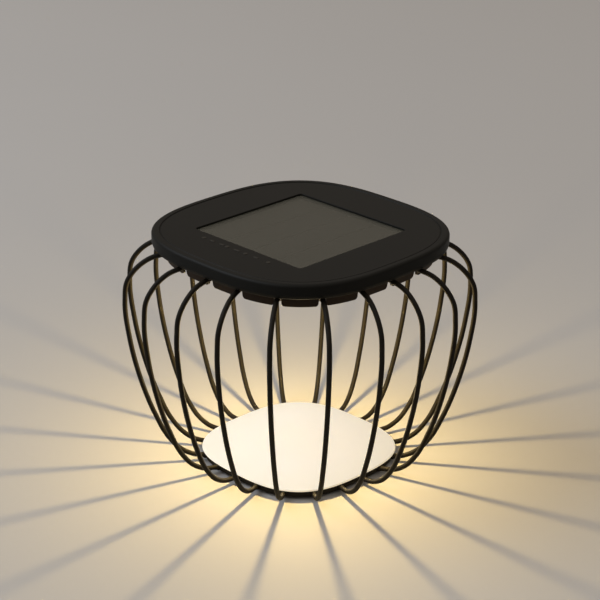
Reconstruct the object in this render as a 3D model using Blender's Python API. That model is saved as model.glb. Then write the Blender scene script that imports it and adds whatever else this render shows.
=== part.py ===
"""Solar table lantern: a solar-charged head on a cage of bent wires over a white reflector base.

The lantern stands on four rubber pads. The head holds the solar panel, the battery, the
electronics and a downward LED; twenty wires, welded between an upper and a lower steel ring,
carry it above a white dome that throws the light out over the table.

Frame: origin on the table under the middle of the base, +Z up, the flat sides of the square
head facing X and Y, the mode button towards -Y. Lengths are metres; MM converts millimetres.
"""

import math

import bmesh
import bpy
import numpy as np
from mathutils import Matrix, Vector

MM = 0.001

# ---------------------------------------------------------------- driving dimensions
FIT_GAP = 0.3 * MM             # air left between two pieces that touch
SQUARENESS = 2.9               # exponent of the rounded-square outlines
RING_POINTS = 40               # corners drawn on a rounded-square outline
ROUND_SIDES = 24               # sides of a large round piece
SMALL_SIDES = 12               # sides of a screw, pin or small hole

# Head: cover on top, base housing below it
COVER_HALF = 77.8 * MM
COVER_TOP_Z = 147.0 * MM
COVER_EDGE_Z = 138.3 * MM
COVER_ROUNDING = 4.4 * MM
COVER_TOP_WALL = 2.0 * MM
COVER_SOCKET_HALF = 75.6 * MM  # inside of the rim, around the housing's flange
COVER_LEDGE_Z = 140.6 * MM
COVER_CAVITY_HALF = 72.0 * MM
COVER_BOSS_RADIUS = 3.4 * MM

PANEL_HALF = 43.1 * MM
PANEL_RECESS = 1.2 * MM
GLASS_THICK = 1.4 * MM
CELL_THICK = 0.4 * MM
CELL_COUNT = 4
CELL_BORDER = 2.0 * MM
CELL_SPACING = 1.2 * MM
CELL_BOARD_THICK = 1.0 * MM
BEDDING_PLAY = 0.4 * MM        # by which board and gasket are smaller than the glass
PANEL_GASKET_THICK = 0.5 * MM
PANEL_GASKET_WIDTH = 4.0 * MM
LEAD_TOP = (-14.0 * MM, -14.0 * MM)
LEAD_HOLE_RADIUS = 2.5 * MM
LEAD_RADIUS = 0.6 * MM
POCKET_HALF = PANEL_HALF + FIT_GAP
POCKET_WALL = 1.6 * MM
POCKET_FLOOR = 1.5 * MM

FLANGE_HALF = COVER_SOCKET_HALF - 0.4 * MM
FLANGE_TOP_Z = 139.2 * MM
FLANGE_THICK = 1.6 * MM
GASKET_WIDTH = 2.4 * MM
SKIRT_HALF_TOP = 71.8 * MM
SKIRT_HALF_BOTTOM = 70.5 * MM
SKIRT_BOTTOM_Z = 130.5 * MM
SKIRT_WALL = 1.8 * MM
HUB_TOP_HALF = 53.2 * MM       # locates the upper ring
HUB_SLOPE_Z = 126.4 * MM       # below it the hub narrows to its floor
HUB_HALF = 40.0 * MM
HUB_WALL = 2.0 * MM
HUB_BOTTOM_Z = 118.0 * MM
HUB_EDGE = 1.6 * MM
HUB_FLOOR_Z = HUB_BOTTOM_Z + 2.0 * MM

# Cage of wires between two rings
WIRE_COUNT = 20
WIRE_RADIUS = 1.5 * MM
WIRE_POINTS = 19
WIRE_END_GAP = 0.8 * MM
WIRE_TOP_Z = 135.4 * MM
WIRE_BOTTOM_Z = 3.4 * MM
# Bends of one wire from head to base: mean distance from the axis, height
WIRE_BENDS = [
    (76.5, 135.3), (84.5, 133.4), (92.6, 127.8), (98.6, 119.0), (100.1, 107.5),
    (98.3, 83.5), (93.1, 57.5), (85.4, 33.5), (77.9, 17.4), (70.5, 8.6), (64.0, 4.9),
]
CORNER_SWELL_TOP = 0.039       # share by which the cage stands out at its corners, at the head
CORNER_SWELL_BOTTOM = 0.022    # the same at the base
NOTCH_WIDTH = 4.2 * MM
NOTCH_TOP_Z = 137.4 * MM

UPPER_RING_HALF = 59.5 * MM
UPPER_RING_WIDTH = 6.0 * MM
UPPER_RING_THICK = 3.4 * MM
LOWER_RING_HALF = 51.8 * MM
LOWER_RING_WIDTH = 2.0 * MM
LOWER_RING_Z = (1.5 * MM, 5.2 * MM)

# Base: plate, dome and pads
BASE_PLATE_HALF = 49.5 * MM
BASE_PLATE_Z = (2.1 * MM, 3.3 * MM)
DOME_HALF = 52.9 * MM
DOME_RIM_Z = 5.5 * MM
DOME_RIM_TALL = 1.0 * MM
DOME_RISE = 5.0 * MM
DOME_WALL = 1.8 * MM
DOME_SPIGOT_HALF = 49.4 * MM
DOME_SPIGOT_Z = 3.8 * MM
DOME_BOSS_RADIUS = 2.8 * MM
PAD_RADIUS = 5.0 * MM
PAD_HEIGHT = 1.8 * MM
PAD_OFFSET = 28.0 * MM
BASE_SCREW_X = 34.0 * MM

# Screws: head radius, head height, shank radius. Four clamp upper ring, housing and cover together
RING_SCREW = (2.8 * MM, 2.0 * MM, 1.5 * MM)
BASE_SCREW = (2.4 * MM, 1.3 * MM, 1.0 * MM)
DOOR_SCREW = (2.0 * MM, 1.2 * MM, 1.0 * MM)
RING_SCREW_FROM_AXIS = 57.0 * MM
RING_SCREW_TURN = math.radians(9)
RING_SCREW_COUNT = 4
HOLE_CLEARANCE = 0.3 * MM
TIP_AIR = 0.5 * MM             # left in a blind hole beyond the screw's tip
CUT_PAST = 1.0 * MM            # by which a cutter runs past the face it opens

# Inside the hub
LENS_RADIUS = 9.0 * MM
LENS_FLANGE_RADIUS = 10.8 * MM
LENS_FLANGE_THICK = 1.0 * MM
LENS_WALL = 1.2 * MM
LENS_TIP_Z = 114.6 * MM
LED_BOARD_RADIUS = 15.0 * MM
LED_BOARD_THICK = 1.2 * MM
LED_PIN_X = 12.9 * MM
LED_PIN_RADIUS = 1.0 * MM
LED_SIZE = 5.0 * MM
BUTTON_Y = -24.5 * MM
BUTTON_RADIUS = 4.5 * MM
BUTTON_FLANGE_RADIUS = 6.0 * MM
BUTTON_TRAVEL = 1.5 * MM
BUTTON_FACE_DROP = 1.2 * MM    # by which the button's face stands below the hub
BUTTON_FLANGE_THICK = 1.2 * MM
BUTTON_NUB_RADIUS = 1.8 * MM
SWITCH_SIZE = 12.0 * MM
SWITCH_TALL = 4.3 * MM
BOARD_BOTTOM_Z = 131.5 * MM
BOARD_THICK = 1.6 * MM
BOARD_X = (-27.0 * MM, 27.0 * MM)
BOARD_Y = (-31.0 * MM, 9.5 * MM)
CHIP_X = (-3.0 * MM, 3.0 * MM)
CHIP_Y = (-20.0 * MM, -15.0 * MM)
CHIP_TALL = 1.3 * MM
COIL_PLACE = (15.0 * MM, -14.0 * MM)
COIL_RADIUS = 4.2 * MM
COIL_TALL = 4.0 * MM
CONNECTOR_X = (-19.0 * MM, -9.0 * MM)
CONNECTOR_Y = (-16.5 * MM, -11.5 * MM)
CONNECTOR_TALL = 4.0 * MM
POST_RADIUS = 2.2 * MM
POST_X = (-22.0 * MM, 22.0 * MM)
POST_Y = (-22.0 * MM, 6.0 * MM)
BATTERY_Y = 20.5 * MM
BATTERY_Z = 127.9 * MM
BATTERY_RADIUS = 7.0 * MM
BATTERY_X = (-17.9 * MM, 24.1 * MM)
BATTERY_TIP = 1.0 * MM
BATTERY_TIP_RADIUS = 2.7 * MM
BATTERY_RIB_X = (26.2 * MM, 27.6 * MM)
BATTERY_RIB_HALF = 7.0 * MM
CONTACT_HALF = 4.0 * MM
SPRING_WIRE = 0.4 * MM
SPRING_RADII = (5.0 * MM, 3.0 * MM)
SPRING_TURNS = 3
DOOR_OPENING = (50.0 * MM, 14.0 * MM)
DOOR_SIZE = (62.0 * MM, 17.6 * MM)
DOOR_CORNER = 8.0 * MM
DOOR_THICK = 1.4 * MM
DOOR_SCREW_X = 28.4 * MM
DOOR_TAB_HALF = 4.0 * MM
DOOR_BOSS_RADIUS = 2.9 * MM
DOOR_BOSS_TALL = 3.5 * MM      # above the hub's floor
DOOR_HOLE_TOP = 2.8 * MM

# Heights that follow from the dimensions above
GLASS_TOP_Z = COVER_TOP_Z - PANEL_RECESS
CELL_TOP_Z = GLASS_TOP_Z - GLASS_THICK - FIT_GAP
CELL_BOARD_TOP_Z = CELL_TOP_Z - CELL_THICK - FIT_GAP
PANEL_GASKET_TOP_Z = CELL_BOARD_TOP_Z - CELL_BOARD_THICK - FIT_GAP
POCKET_FLOOR_Z = PANEL_GASKET_TOP_Z - PANEL_GASKET_THICK - FIT_GAP
FLANGE_BOTTOM_Z = FLANGE_TOP_Z - FLANGE_THICK
UPPER_RING_TOP_Z = FLANGE_BOTTOM_Z - FIT_GAP
LED_BOARD_Z = HUB_FLOOR_Z + FIT_GAP + LENS_FLANGE_THICK + FIT_GAP
BOARD_TOP_Z = BOARD_BOTTOM_Z + BOARD_THICK
RING_SCREW_TIP_Z = COVER_TOP_Z - 3.4 * MM
BASE_SCREW_TIP_Z = DOME_SPIGOT_Z + 3.4 * MM


# ---------------------------------------------------------------- shape helpers
def clear_scene():
    for obj in list(bpy.data.objects):
        bpy.data.objects.remove(obj, do_unlink=True)


def make_material(name, color, roughness, metallic=0.0, alpha=1.0):
    """A Principled material; color is linear RGB."""
    mat = bpy.data.materials.new(name)
    mat.use_nodes = True
    shader = mat.node_tree.nodes["Principled BSDF"]
    shader.inputs["Base Color"].default_value = (*color, 1.0)
    shader.inputs["Roughness"].default_value = roughness
    shader.inputs["Metallic"].default_value = metallic
    shader.inputs["Alpha"].default_value = alpha
    return mat


def squircle_radius(half, angle, exponent=SQUARENESS):
    """Distance from the axis to a rounded square with flat sides at +-half, at an angle."""
    spread = abs(math.cos(angle)) ** exponent + abs(math.sin(angle)) ** exponent
    return half / spread ** (1.0 / exponent)


def add_ring(bm, half, z, count, exponent):
    """One closed outline of count vertices at height z."""
    ring = []
    for step in range(count):
        angle = 2 * math.pi * step / count
        radius = squircle_radius(half, angle, exponent)
        ring.append(bm.verts.new((radius * math.cos(angle), radius * math.sin(angle), z)))
    return ring


def bridge(bm, ring_a, ring_b):
    count = len(ring_a)
    for step in range(count):
        after = (step + 1) % count
        bm.faces.new((ring_a[step], ring_a[after], ring_b[after], ring_b[step]))


def loft(bm, sections, closed=False, count=RING_POINTS, exponent=SQUARENESS):
    """Skin through outlines given as (half width, height), with ends capped or joined round."""
    rings = [add_ring(bm, half, z, count, exponent) for half, z in sections]
    for ring_a, ring_b in zip(rings, rings[1:]):
        bridge(bm, ring_a, ring_b)
    if closed:
        bridge(bm, rings[-1], rings[0])
    else:
        bm.faces.new(rings[0])
        bm.faces.new(rings[-1])


def turned(bm, sections, count=ROUND_SIDES, x=0.0, y=0.0, closed=False):
    """A round piece about a vertical axis at (x, y), through (radius, height) sections."""
    part = bmesh.new()
    loft(part, sections, closed=closed, count=count, exponent=2.0)
    bmesh.ops.translate(part, verts=part.verts, vec=(x, y, 0.0))
    merge_into(bm, part)


def rod(bm, radius, z_low, z_high, x=0.0, y=0.0, count=SMALL_SIDES):
    turned(bm, [(radius, z_low), (radius, z_high)], count=count, x=x, y=y)


def box(bm, x_span, y_span, z_span):
    size = (x_span[1] - x_span[0], y_span[1] - y_span[0], z_span[1] - z_span[0])
    middle = (sum(x_span) / 2, sum(y_span) / 2, sum(z_span) / 2)
    matrix = Matrix.Translation(middle) @ Matrix.Diagonal((*size, 1.0))
    bmesh.ops.create_cube(bm, size=1.0, matrix=matrix)


def merge_into(bm, part):
    """Copies part's geometry into bm and frees part."""
    mesh = bpy.data.meshes.new("working")
    part.to_mesh(mesh)
    part.free()
    bm.from_mesh(mesh)
    bpy.data.meshes.remove(mesh)


def prism(bm, outline, direction):
    """A closed outline (vectors in order) pushed along direction."""
    low = [bm.verts.new(point) for point in outline]
    high = [bm.verts.new(point + direction) for point in outline]
    bridge(bm, low, high)
    bm.faces.new(low)
    bm.faces.new(high)


def new_object(name, bm, mat):
    bmesh.ops.recalc_face_normals(bm, faces=bm.faces)
    mesh = bpy.data.meshes.new(name)
    bm.to_mesh(mesh)
    bm.free()
    mesh.shade_smooth()
    mesh.set_sharp_from_angle(angle=math.radians(35))
    obj = bpy.data.objects.new(name, mesh)
    bpy.context.scene.collection.objects.link(obj)
    if mat is not None:
        mesh.materials.append(mat)
    return obj


def combine(obj, name, bm, operation):
    """Adds a Boolean of obj with the bodies in bm, which stay as a hidden guide object."""
    guide = new_object(name, bm, None)
    guide.hide_render = True
    guide.display_type = "WIRE"
    modifier = obj.modifiers.new(name, "BOOLEAN")
    modifier.operation = operation
    modifier.solver = "EXACT"
    modifier.object = guide


def ring_screw_places():
    """Axis positions of the head screws, midway between two wires on each side."""
    for step in range(RING_SCREW_COUNT):
        angle = RING_SCREW_TURN + 2 * math.pi * step / RING_SCREW_COUNT
        yield RING_SCREW_FROM_AXIS * math.cos(angle), RING_SCREW_FROM_AXIS * math.sin(angle)


def ring_screw_holes(bm, z_low, z_high):
    for x, y in ring_screw_places():
        rod(bm, RING_SCREW[2] + HOLE_CLEARANCE, z_low, z_high, x, y)


# ---------------------------------------------------------------- head: cover and panel
def build_top_cover(mat):
    """Shallow rounded-square cap, hollow below, with a square pocket for the panel."""
    bm = bmesh.new()
    edge = 1.0 * MM
    sections = [(COVER_HALF - COVER_ROUNDING, COVER_TOP_Z)]
    for turn in (math.radians(60), math.radians(30), 0.0):
        half = COVER_HALF - COVER_ROUNDING * (1 - math.cos(turn))
        sections.append((half, COVER_TOP_Z - COVER_ROUNDING * (1 - math.sin(turn))))
    sections += [(COVER_HALF, COVER_EDGE_Z + edge), (COVER_HALF - edge, COVER_EDGE_Z)]
    sections += [(COVER_SOCKET_HALF, COVER_EDGE_Z), (COVER_SOCKET_HALF, COVER_LEDGE_Z)]
    sections += [(COVER_CAVITY_HALF, COVER_LEDGE_Z)]
    sections += [(COVER_CAVITY_HALF, COVER_TOP_Z - COVER_TOP_WALL)]
    loft(bm, sections)
    cover = new_object("top_cover", bm, mat)

    bosses = bmesh.new()
    inside_top = COVER_TOP_Z - COVER_TOP_WALL / 2
    outer = POCKET_HALF + POCKET_WALL
    pocket_low = POCKET_FLOOR_Z - POCKET_FLOOR
    box(bosses, (-outer, outer), (-outer, outer), (pocket_low, inside_top))
    for x, y in ring_screw_places():
        rod(bosses, COVER_BOSS_RADIUS, pocket_low, inside_top, x, y)
    combine(cover, "cover_bosses", bosses, "UNION")

    cuts = bmesh.new()
    span = (-POCKET_HALF, POCKET_HALF)
    box(cuts, span, span, (POCKET_FLOOR_Z, COVER_TOP_Z + CUT_PAST))
    ring_screw_holes(cuts, COVER_EDGE_Z, RING_SCREW_TIP_Z + TIP_AIR)
    combine(cover, "cover_cuts", cuts, "DIFFERENCE")
    lead_hole = bmesh.new()
    rod(lead_hole, LEAD_HOLE_RADIUS, pocket_low - CUT_PAST, POCKET_FLOOR_Z + CUT_PAST, *LEAD_TOP)
    combine(cover, "cover_lead_hole", lead_hole, "DIFFERENCE")


def build_solar_glass(mat):
    """Square window with its upper edges eased."""
    bm = bmesh.new()
    span = (-PANEL_HALF, PANEL_HALF)
    box(bm, span, span, (GLASS_TOP_Z - GLASS_THICK, GLASS_TOP_Z))
    middle = GLASS_TOP_Z - GLASS_THICK / 2
    top_edges = [edge for edge in bm.edges if all(vert.co.z > middle for vert in edge.verts)]
    bmesh.ops.bevel(bm, geom=top_edges, offset=0.3 * MM, segments=1, affect="EDGES")
    new_object("solar_glass", bm, mat)


def build_solar_cells(mat):
    """Wafers side by side under the glass."""
    reach = PANEL_HALF - CELL_BORDER
    width = (2 * reach - (CELL_COUNT - 1) * CELL_SPACING) / CELL_COUNT
    for step in range(CELL_COUNT):
        left = -reach + step * (width + CELL_SPACING)
        bm = bmesh.new()
        box(bm, (left, left + width), (-reach, reach), (CELL_TOP_Z - CELL_THICK, CELL_TOP_Z))
        new_object(f"solar_cell_{step + 1}", bm, mat)


def build_cell_board(mat):
    bm = bmesh.new()
    half = PANEL_HALF - BEDDING_PLAY
    box(bm, (-half, half), (-half, half), (CELL_BOARD_TOP_Z - CELL_BOARD_THICK, CELL_BOARD_TOP_Z))
    new_object("cell_board", bm, mat)


def build_panel_gasket(mat):
    """Square foam frame that beds the panel in its pocket."""
    bm = bmesh.new()
    outer = PANEL_HALF - BEDDING_PLAY
    inner = outer - PANEL_GASKET_WIDTH
    low = PANEL_GASKET_TOP_Z - PANEL_GASKET_THICK
    corners = ((1, 1), (-1, 1), (-1, -1), (1, -1))
    loops = []
    for half, z in ((outer, low), (outer, PANEL_GASKET_TOP_Z), (inner, PANEL_GASKET_TOP_Z), (inner, low)):
        loops.append([bm.verts.new((half * x, half * y, z)) for x, y in corners])
    for loop_a, loop_b in zip(loops, loops[1:] + loops[:1]):
        bridge(bm, loop_a, loop_b)
    new_object("panel_gasket", bm, mat)


# ---------------------------------------------------------------- head: housing
def notch_cutters(bm):
    """A U-shaped slot through the skirt for each wire, open at its lower edge."""
    half = NOTCH_WIDTH / 2
    arch_z = NOTCH_TOP_Z - half
    inner = SKIRT_HALF_BOTTOM - SKIRT_WALL - CUT_PAST
    reach = squircle_radius(SKIRT_HALF_TOP, math.pi / 4) + CUT_PAST - inner
    shape = [(-half, SKIRT_BOTTOM_Z - CUT_PAST)]
    for turn in range(7):
        bend = math.pi * turn / 6
        shape.append((-half * math.cos(bend), arch_z + half * math.sin(bend)))
    shape.append((half, SKIRT_BOTTOM_Z - CUT_PAST))
    for step in range(WIRE_COUNT):
        angle = 2 * math.pi * step / WIRE_COUNT
        out = Vector((math.cos(angle), math.sin(angle), 0.0))
        side = Vector((-math.sin(angle), math.cos(angle), 0.0))
        outline = [out * inner + side * across + Vector((0, 0, z)) for across, z in shape]
        prism(bm, outline, out * reach)


def build_head_base(mat):
    """Housing: flange under the cover, notched skirt, and a hub for battery, button and LED."""
    bm = bmesh.new()
    slope = 1.0 * MM
    sections = [(HUB_HALF - HUB_WALL, HUB_FLOOR_Z), (HUB_HALF - HUB_WALL, HUB_FLOOR_Z + slope)]
    sections += [(HUB_TOP_HALF - HUB_WALL, HUB_SLOPE_Z + HUB_WALL)]
    sections += [(HUB_TOP_HALF - HUB_WALL, FLANGE_TOP_Z)]
    sections += [(FLANGE_HALF, FLANGE_TOP_Z), (FLANGE_HALF, FLANGE_BOTTOM_Z)]
    sections += [(SKIRT_HALF_TOP, FLANGE_BOTTOM_Z), (SKIRT_HALF_BOTTOM, SKIRT_BOTTOM_Z)]
    sections += [(SKIRT_HALF_BOTTOM - SKIRT_WALL, SKIRT_BOTTOM_Z)]
    sections += [(SKIRT_HALF_TOP - SKIRT_WALL, FLANGE_BOTTOM_Z)]
    sections += [(HUB_TOP_HALF, FLANGE_BOTTOM_Z), (HUB_TOP_HALF, HUB_SLOPE_Z)]
    sections += [(HUB_HALF, HUB_BOTTOM_Z + HUB_EDGE), (HUB_HALF - HUB_EDGE, HUB_BOTTOM_Z)]
    loft(bm, sections)
    housing = new_object("head_base", bm, mat)

    stands = bmesh.new()
    foot_z = HUB_FLOOR_Z - HUB_WALL / 2
    for x in POST_X:
        for y in POST_Y:
            rod(stands, POST_RADIUS, foot_z, BOARD_BOTTOM_Z - FIT_GAP, x, y)
    rib_y = (BATTERY_Y - BATTERY_RIB_HALF, BATTERY_Y + BATTERY_RIB_HALF)
    pin_top = LED_BOARD_Z + LED_BOARD_THICK + 0.6 * MM
    for sign in (-1, 1):
        rod(stands, LED_PIN_RADIUS, foot_z, pin_top, sign * LED_PIN_X)
        rib_x = sorted((sign * BATTERY_RIB_X[0], sign * BATTERY_RIB_X[1]))
        box(stands, rib_x, rib_y, (foot_z, BATTERY_Z + CONTACT_HALF))
    combine(housing, "housing_stands", stands, "UNION")
    boss = bmesh.new()
    rod(boss, DOOR_BOSS_RADIUS, foot_z, HUB_FLOOR_Z + DOOR_BOSS_TALL, DOOR_SCREW_X, BATTERY_Y)
    combine(housing, "housing_boss", boss, "UNION")

    cuts = bmesh.new()
    notch_cutters(cuts)
    low = HUB_BOTTOM_Z - CUT_PAST
    high = HUB_FLOOR_Z + CUT_PAST
    rod(cuts, LENS_RADIUS + FIT_GAP, low, high, count=ROUND_SIDES)
    rod(cuts, BUTTON_RADIUS + FIT_GAP, low, high, 0.0, BUTTON_Y, count=ROUND_SIDES)
    opening_x = (-DOOR_OPENING[0] / 2, DOOR_OPENING[0] / 2)
    opening_y = (BATTERY_Y - DOOR_OPENING[1] / 2, BATTERY_Y + DOOR_OPENING[1] / 2)
    box(cuts, opening_x, opening_y, (low, high))
    hole_radius = DOOR_SCREW[2] + HOLE_CLEARANCE
    rod(cuts, hole_radius, low, HUB_FLOOR_Z + DOOR_HOLE_TOP, DOOR_SCREW_X, BATTERY_Y)
    ring_screw_holes(cuts, FLANGE_BOTTOM_Z - CUT_PAST, FLANGE_TOP_Z + CUT_PAST)
    combine(housing, "housing_cuts", cuts, "DIFFERENCE")


def build_head_gasket(mat):
    """Flat seal between the housing's flange and the cover's ledge."""
    bm = bmesh.new()
    low = FLANGE_TOP_Z + FIT_GAP
    high = COVER_LEDGE_Z - FIT_GAP
    inner = FLANGE_HALF - GASKET_WIDTH
    loft(bm, [(FLANGE_HALF, low), (FLANGE_HALF, high), (inner, high), (inner, low)], closed=True)
    new_object("head_gasket", bm, mat)


def screw(name, mat, x, y, form, seat_z, tip_z):
    """Pan-head screw pointing up: form is RING_SCREW or alike, its head ends at seat_z."""
    head_radius, head_tall, shank_radius = form
    low = seat_z - head_tall
    rounding = 0.4 * MM
    sections = [(head_radius - rounding, low), (head_radius, low + rounding), (head_radius, seat_z)]
    sections += [(shank_radius, seat_z), (shank_radius, tip_z)]
    bm = bmesh.new()
    turned(bm, sections, count=SMALL_SIDES, x=x, y=y)
    new_object(name, bm, mat)


def build_head_screws(mat):
    seat_z = UPPER_RING_TOP_Z - UPPER_RING_THICK - FIT_GAP
    for number, (x, y) in enumerate(ring_screw_places(), start=1):
        screw(f"ring_screw_{number}", mat, x, y, RING_SCREW, seat_z, RING_SCREW_TIP_Z)


# ---------------------------------------------------------------- head: electrics
def build_controller(board_mat, chip_mat, coil_mat, plug_mat):
    bm = bmesh.new()
    box(bm, BOARD_X, BOARD_Y, (BOARD_BOTTOM_Z, BOARD_TOP_Z))
    new_object("controller_board", bm, board_mat)
    low = BOARD_TOP_Z + FIT_GAP
    chip = bmesh.new()
    box(chip, CHIP_X, CHIP_Y, (low, low + CHIP_TALL))
    new_object("driver_chip", chip, chip_mat)
    coil = bmesh.new()
    edge = 0.8 * MM
    sections = [(COIL_RADIUS, low), (COIL_RADIUS, low + COIL_TALL - edge)]
    sections += [(COIL_RADIUS - edge, low + COIL_TALL)]
    turned(coil, sections, x=COIL_PLACE[0], y=COIL_PLACE[1], count=16)
    new_object("charge_coil", coil, coil_mat)
    plug = bmesh.new()
    box(plug, CONNECTOR_X, CONNECTOR_Y, (low, low + CONNECTOR_TALL))
    new_object("lead_connector", plug, plug_mat)
    switch = bmesh.new()
    half = SWITCH_SIZE / 2
    high = BOARD_BOTTOM_Z - FIT_GAP
    box(switch, (-half, half), (BUTTON_Y - half, BUTTON_Y + half), (high - SWITCH_TALL, high))
    new_object("switch_body", switch, plug_mat)


def build_mode_button(mat):
    """Push button: cap below the floor, flange above it, and a nub that meets the switch."""
    face = -BUTTON_FACE_DROP
    edge = 0.5 * MM
    flange_low = HUB_FLOOR_Z - HUB_BOTTOM_Z + FIT_GAP
    flange_high = flange_low + BUTTON_FLANGE_THICK
    switch_low = BOARD_BOTTOM_Z - FIT_GAP - SWITCH_TALL - HUB_BOTTOM_Z
    nub_top = switch_low - BUTTON_TRAVEL - FIT_GAP
    bm = bmesh.new()
    sections = [(BUTTON_RADIUS - edge, face), (BUTTON_RADIUS, face + edge)]
    sections += [(BUTTON_RADIUS, flange_low)]
    sections += [(BUTTON_FLANGE_RADIUS, flange_low), (BUTTON_FLANGE_RADIUS, flange_high)]
    sections += [(BUTTON_NUB_RADIUS, flange_high), (BUTTON_NUB_RADIUS, nub_top)]
    turned(bm, sections)
    button = new_object("mode_button", bm, mat)
    button.location = (0.0, BUTTON_Y, HUB_BOTTOM_Z)


def build_lens(mat):
    """Hollow dome, open at the top, with a flange that rests on the hub's floor."""
    low = HUB_FLOOR_Z + FIT_GAP
    high = low + LENS_FLANGE_THICK
    shoulder = HUB_BOTTOM_Z - 0.4 * MM
    inner = LENS_RADIUS - LENS_WALL
    drop = shoulder - LENS_TIP_Z
    inner_drop = drop - LENS_WALL
    turns = [math.radians(degrees) for degrees in (20, 45, 70)]
    inside = [(inner * math.cos(turn), shoulder - inner_drop * math.sin(turn)) for turn in turns]
    outside = [(LENS_RADIUS * math.cos(turn), shoulder - drop * math.sin(turn)) for turn in turns]
    sections = inside[::-1] + [(inner, shoulder), (inner, high)]
    sections += [(LENS_FLANGE_RADIUS, high), (LENS_FLANGE_RADIUS, low)]
    sections += [(LENS_RADIUS, low), (LENS_RADIUS, shoulder)] + outside
    bm = bmesh.new()
    turned(bm, sections)
    new_object("lens", bm, mat)


def build_led(board_mat, emitter_mat):
    bm = bmesh.new()
    rod(bm, LED_BOARD_RADIUS, LED_BOARD_Z, LED_BOARD_Z + LED_BOARD_THICK, count=ROUND_SIDES)
    board = new_object("led_board", bm, board_mat)
    holes = bmesh.new()
    hole_top = LED_BOARD_Z + LED_BOARD_THICK + CUT_PAST
    for sign in (-1, 1):
        rod(holes, LED_PIN_RADIUS + HOLE_CLEARANCE, LED_BOARD_Z - CUT_PAST, hole_top, sign * LED_PIN_X)
    combine(board, "led_board_holes", holes, "DIFFERENCE")
    emitter = bmesh.new()
    half = LED_SIZE / 2
    high = LED_BOARD_Z - FIT_GAP
    box(emitter, (-half, half), (-half, half), (high - 1.0 * MM, high))
    new_object("led_emitter", emitter, emitter_mat)


def along_x(bm, x, y, z):
    """Lays a piece modelled along +Z down along +X, its origin at (x, y, z)."""
    matrix = Matrix.Translation((x, y, z)) @ Matrix.Rotation(math.pi / 2, 4, "Y")
    bmesh.ops.transform(bm, matrix=matrix, verts=bm.verts)


def build_battery(cell_mat, metal_mat):
    length = BATTERY_X[1] - BATTERY_X[0]
    edge = 0.5 * MM
    bm = bmesh.new()
    sections = [(BATTERY_RADIUS - edge, 0.0), (BATTERY_RADIUS, edge), (BATTERY_RADIUS, length - edge)]
    sections += [(BATTERY_RADIUS - edge, length), (BATTERY_TIP_RADIUS, length)]
    sections += [(BATTERY_TIP_RADIUS, length + BATTERY_TIP)]
    turned(bm, sections, count=16)
    along_x(bm, BATTERY_X[0], BATTERY_Y, BATTERY_Z)
    new_object("battery_cell", bm, cell_mat)

    plate = bmesh.new()
    plate_x = (BATTERY_X[1] + BATTERY_TIP + FIT_GAP, BATTERY_RIB_X[0] - FIT_GAP)
    plate_y = (BATTERY_Y - CONTACT_HALF, BATTERY_Y + CONTACT_HALF)
    box(plate, plate_x, plate_y, (BATTERY_Z - CONTACT_HALF, BATTERY_Z + CONTACT_HALF))
    new_object("battery_contact", plate, metal_mat)

    start = -BATTERY_RIB_X[0] + FIT_GAP + SPRING_WIRE
    end = BATTERY_X[0] - FIT_GAP - SPRING_WIRE
    steps = 8
    points = []
    for step in range(SPRING_TURNS * steps + 1):
        share = step / (SPRING_TURNS * steps)
        angle = 2 * math.pi * step / steps
        radius = SPRING_RADII[0] + (SPRING_RADII[1] - SPRING_RADII[0]) * share
        x = start + (end - start) * share
        points.append((x, BATTERY_Y + radius * math.cos(angle), BATTERY_Z + radius * math.sin(angle)))
    tube("battery_spring", points, SPRING_WIRE, metal_mat)


def rounded_outline(x_half, y_half, corner, y_middle, z):
    """Rounded rectangle as vectors, each corner an arc of five points."""
    points = []
    for quarter, (sx, sy) in enumerate(((1, 1), (-1, 1), (-1, -1), (1, -1))):
        for step in range(5):
            angle = math.pi / 2 * (quarter + step / 4)
            x = sx * (x_half - corner) + corner * math.cos(angle)
            y = sy * (y_half - corner) + corner * math.sin(angle)
            points.append(Vector((x, y_middle + y, z)))
    return points


def build_battery_door(mat, screw_mat):
    """Cover plate under the hub, with a tab in the opening at one end and a screw at the other."""
    high = HUB_BOTTOM_Z - FIT_GAP
    low = high - DOOR_THICK
    bm = bmesh.new()
    outline = rounded_outline(DOOR_SIZE[0] / 2, DOOR_SIZE[1] / 2, DOOR_CORNER, BATTERY_Y, low)
    prism(bm, outline, Vector((0, 0, DOOR_THICK)))
    door = new_object("battery_door", bm, mat)
    tab = bmesh.new()
    tab_x = (-DOOR_OPENING[0] / 2 + FIT_GAP, -DOOR_OPENING[0] / 2 + 1.6 * MM)
    tab_y = (BATTERY_Y - DOOR_TAB_HALF, BATTERY_Y + DOOR_TAB_HALF)
    box(tab, tab_x, tab_y, (high - DOOR_THICK / 2, HUB_FLOOR_Z))
    combine(door, "door_tab", tab, "UNION")
    hole = bmesh.new()
    hole_radius = DOOR_SCREW[2] + HOLE_CLEARANCE
    rod(hole, hole_radius, low - CUT_PAST, high + CUT_PAST, DOOR_SCREW_X, BATTERY_Y)
    combine(door, "door_hole", hole, "DIFFERENCE")
    tip_z = HUB_FLOOR_Z + DOOR_HOLE_TOP - TIP_AIR
    screw("door_screw", screw_mat, DOOR_SCREW_X, BATTERY_Y, DOOR_SCREW, low - FIT_GAP, tip_z)


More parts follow.
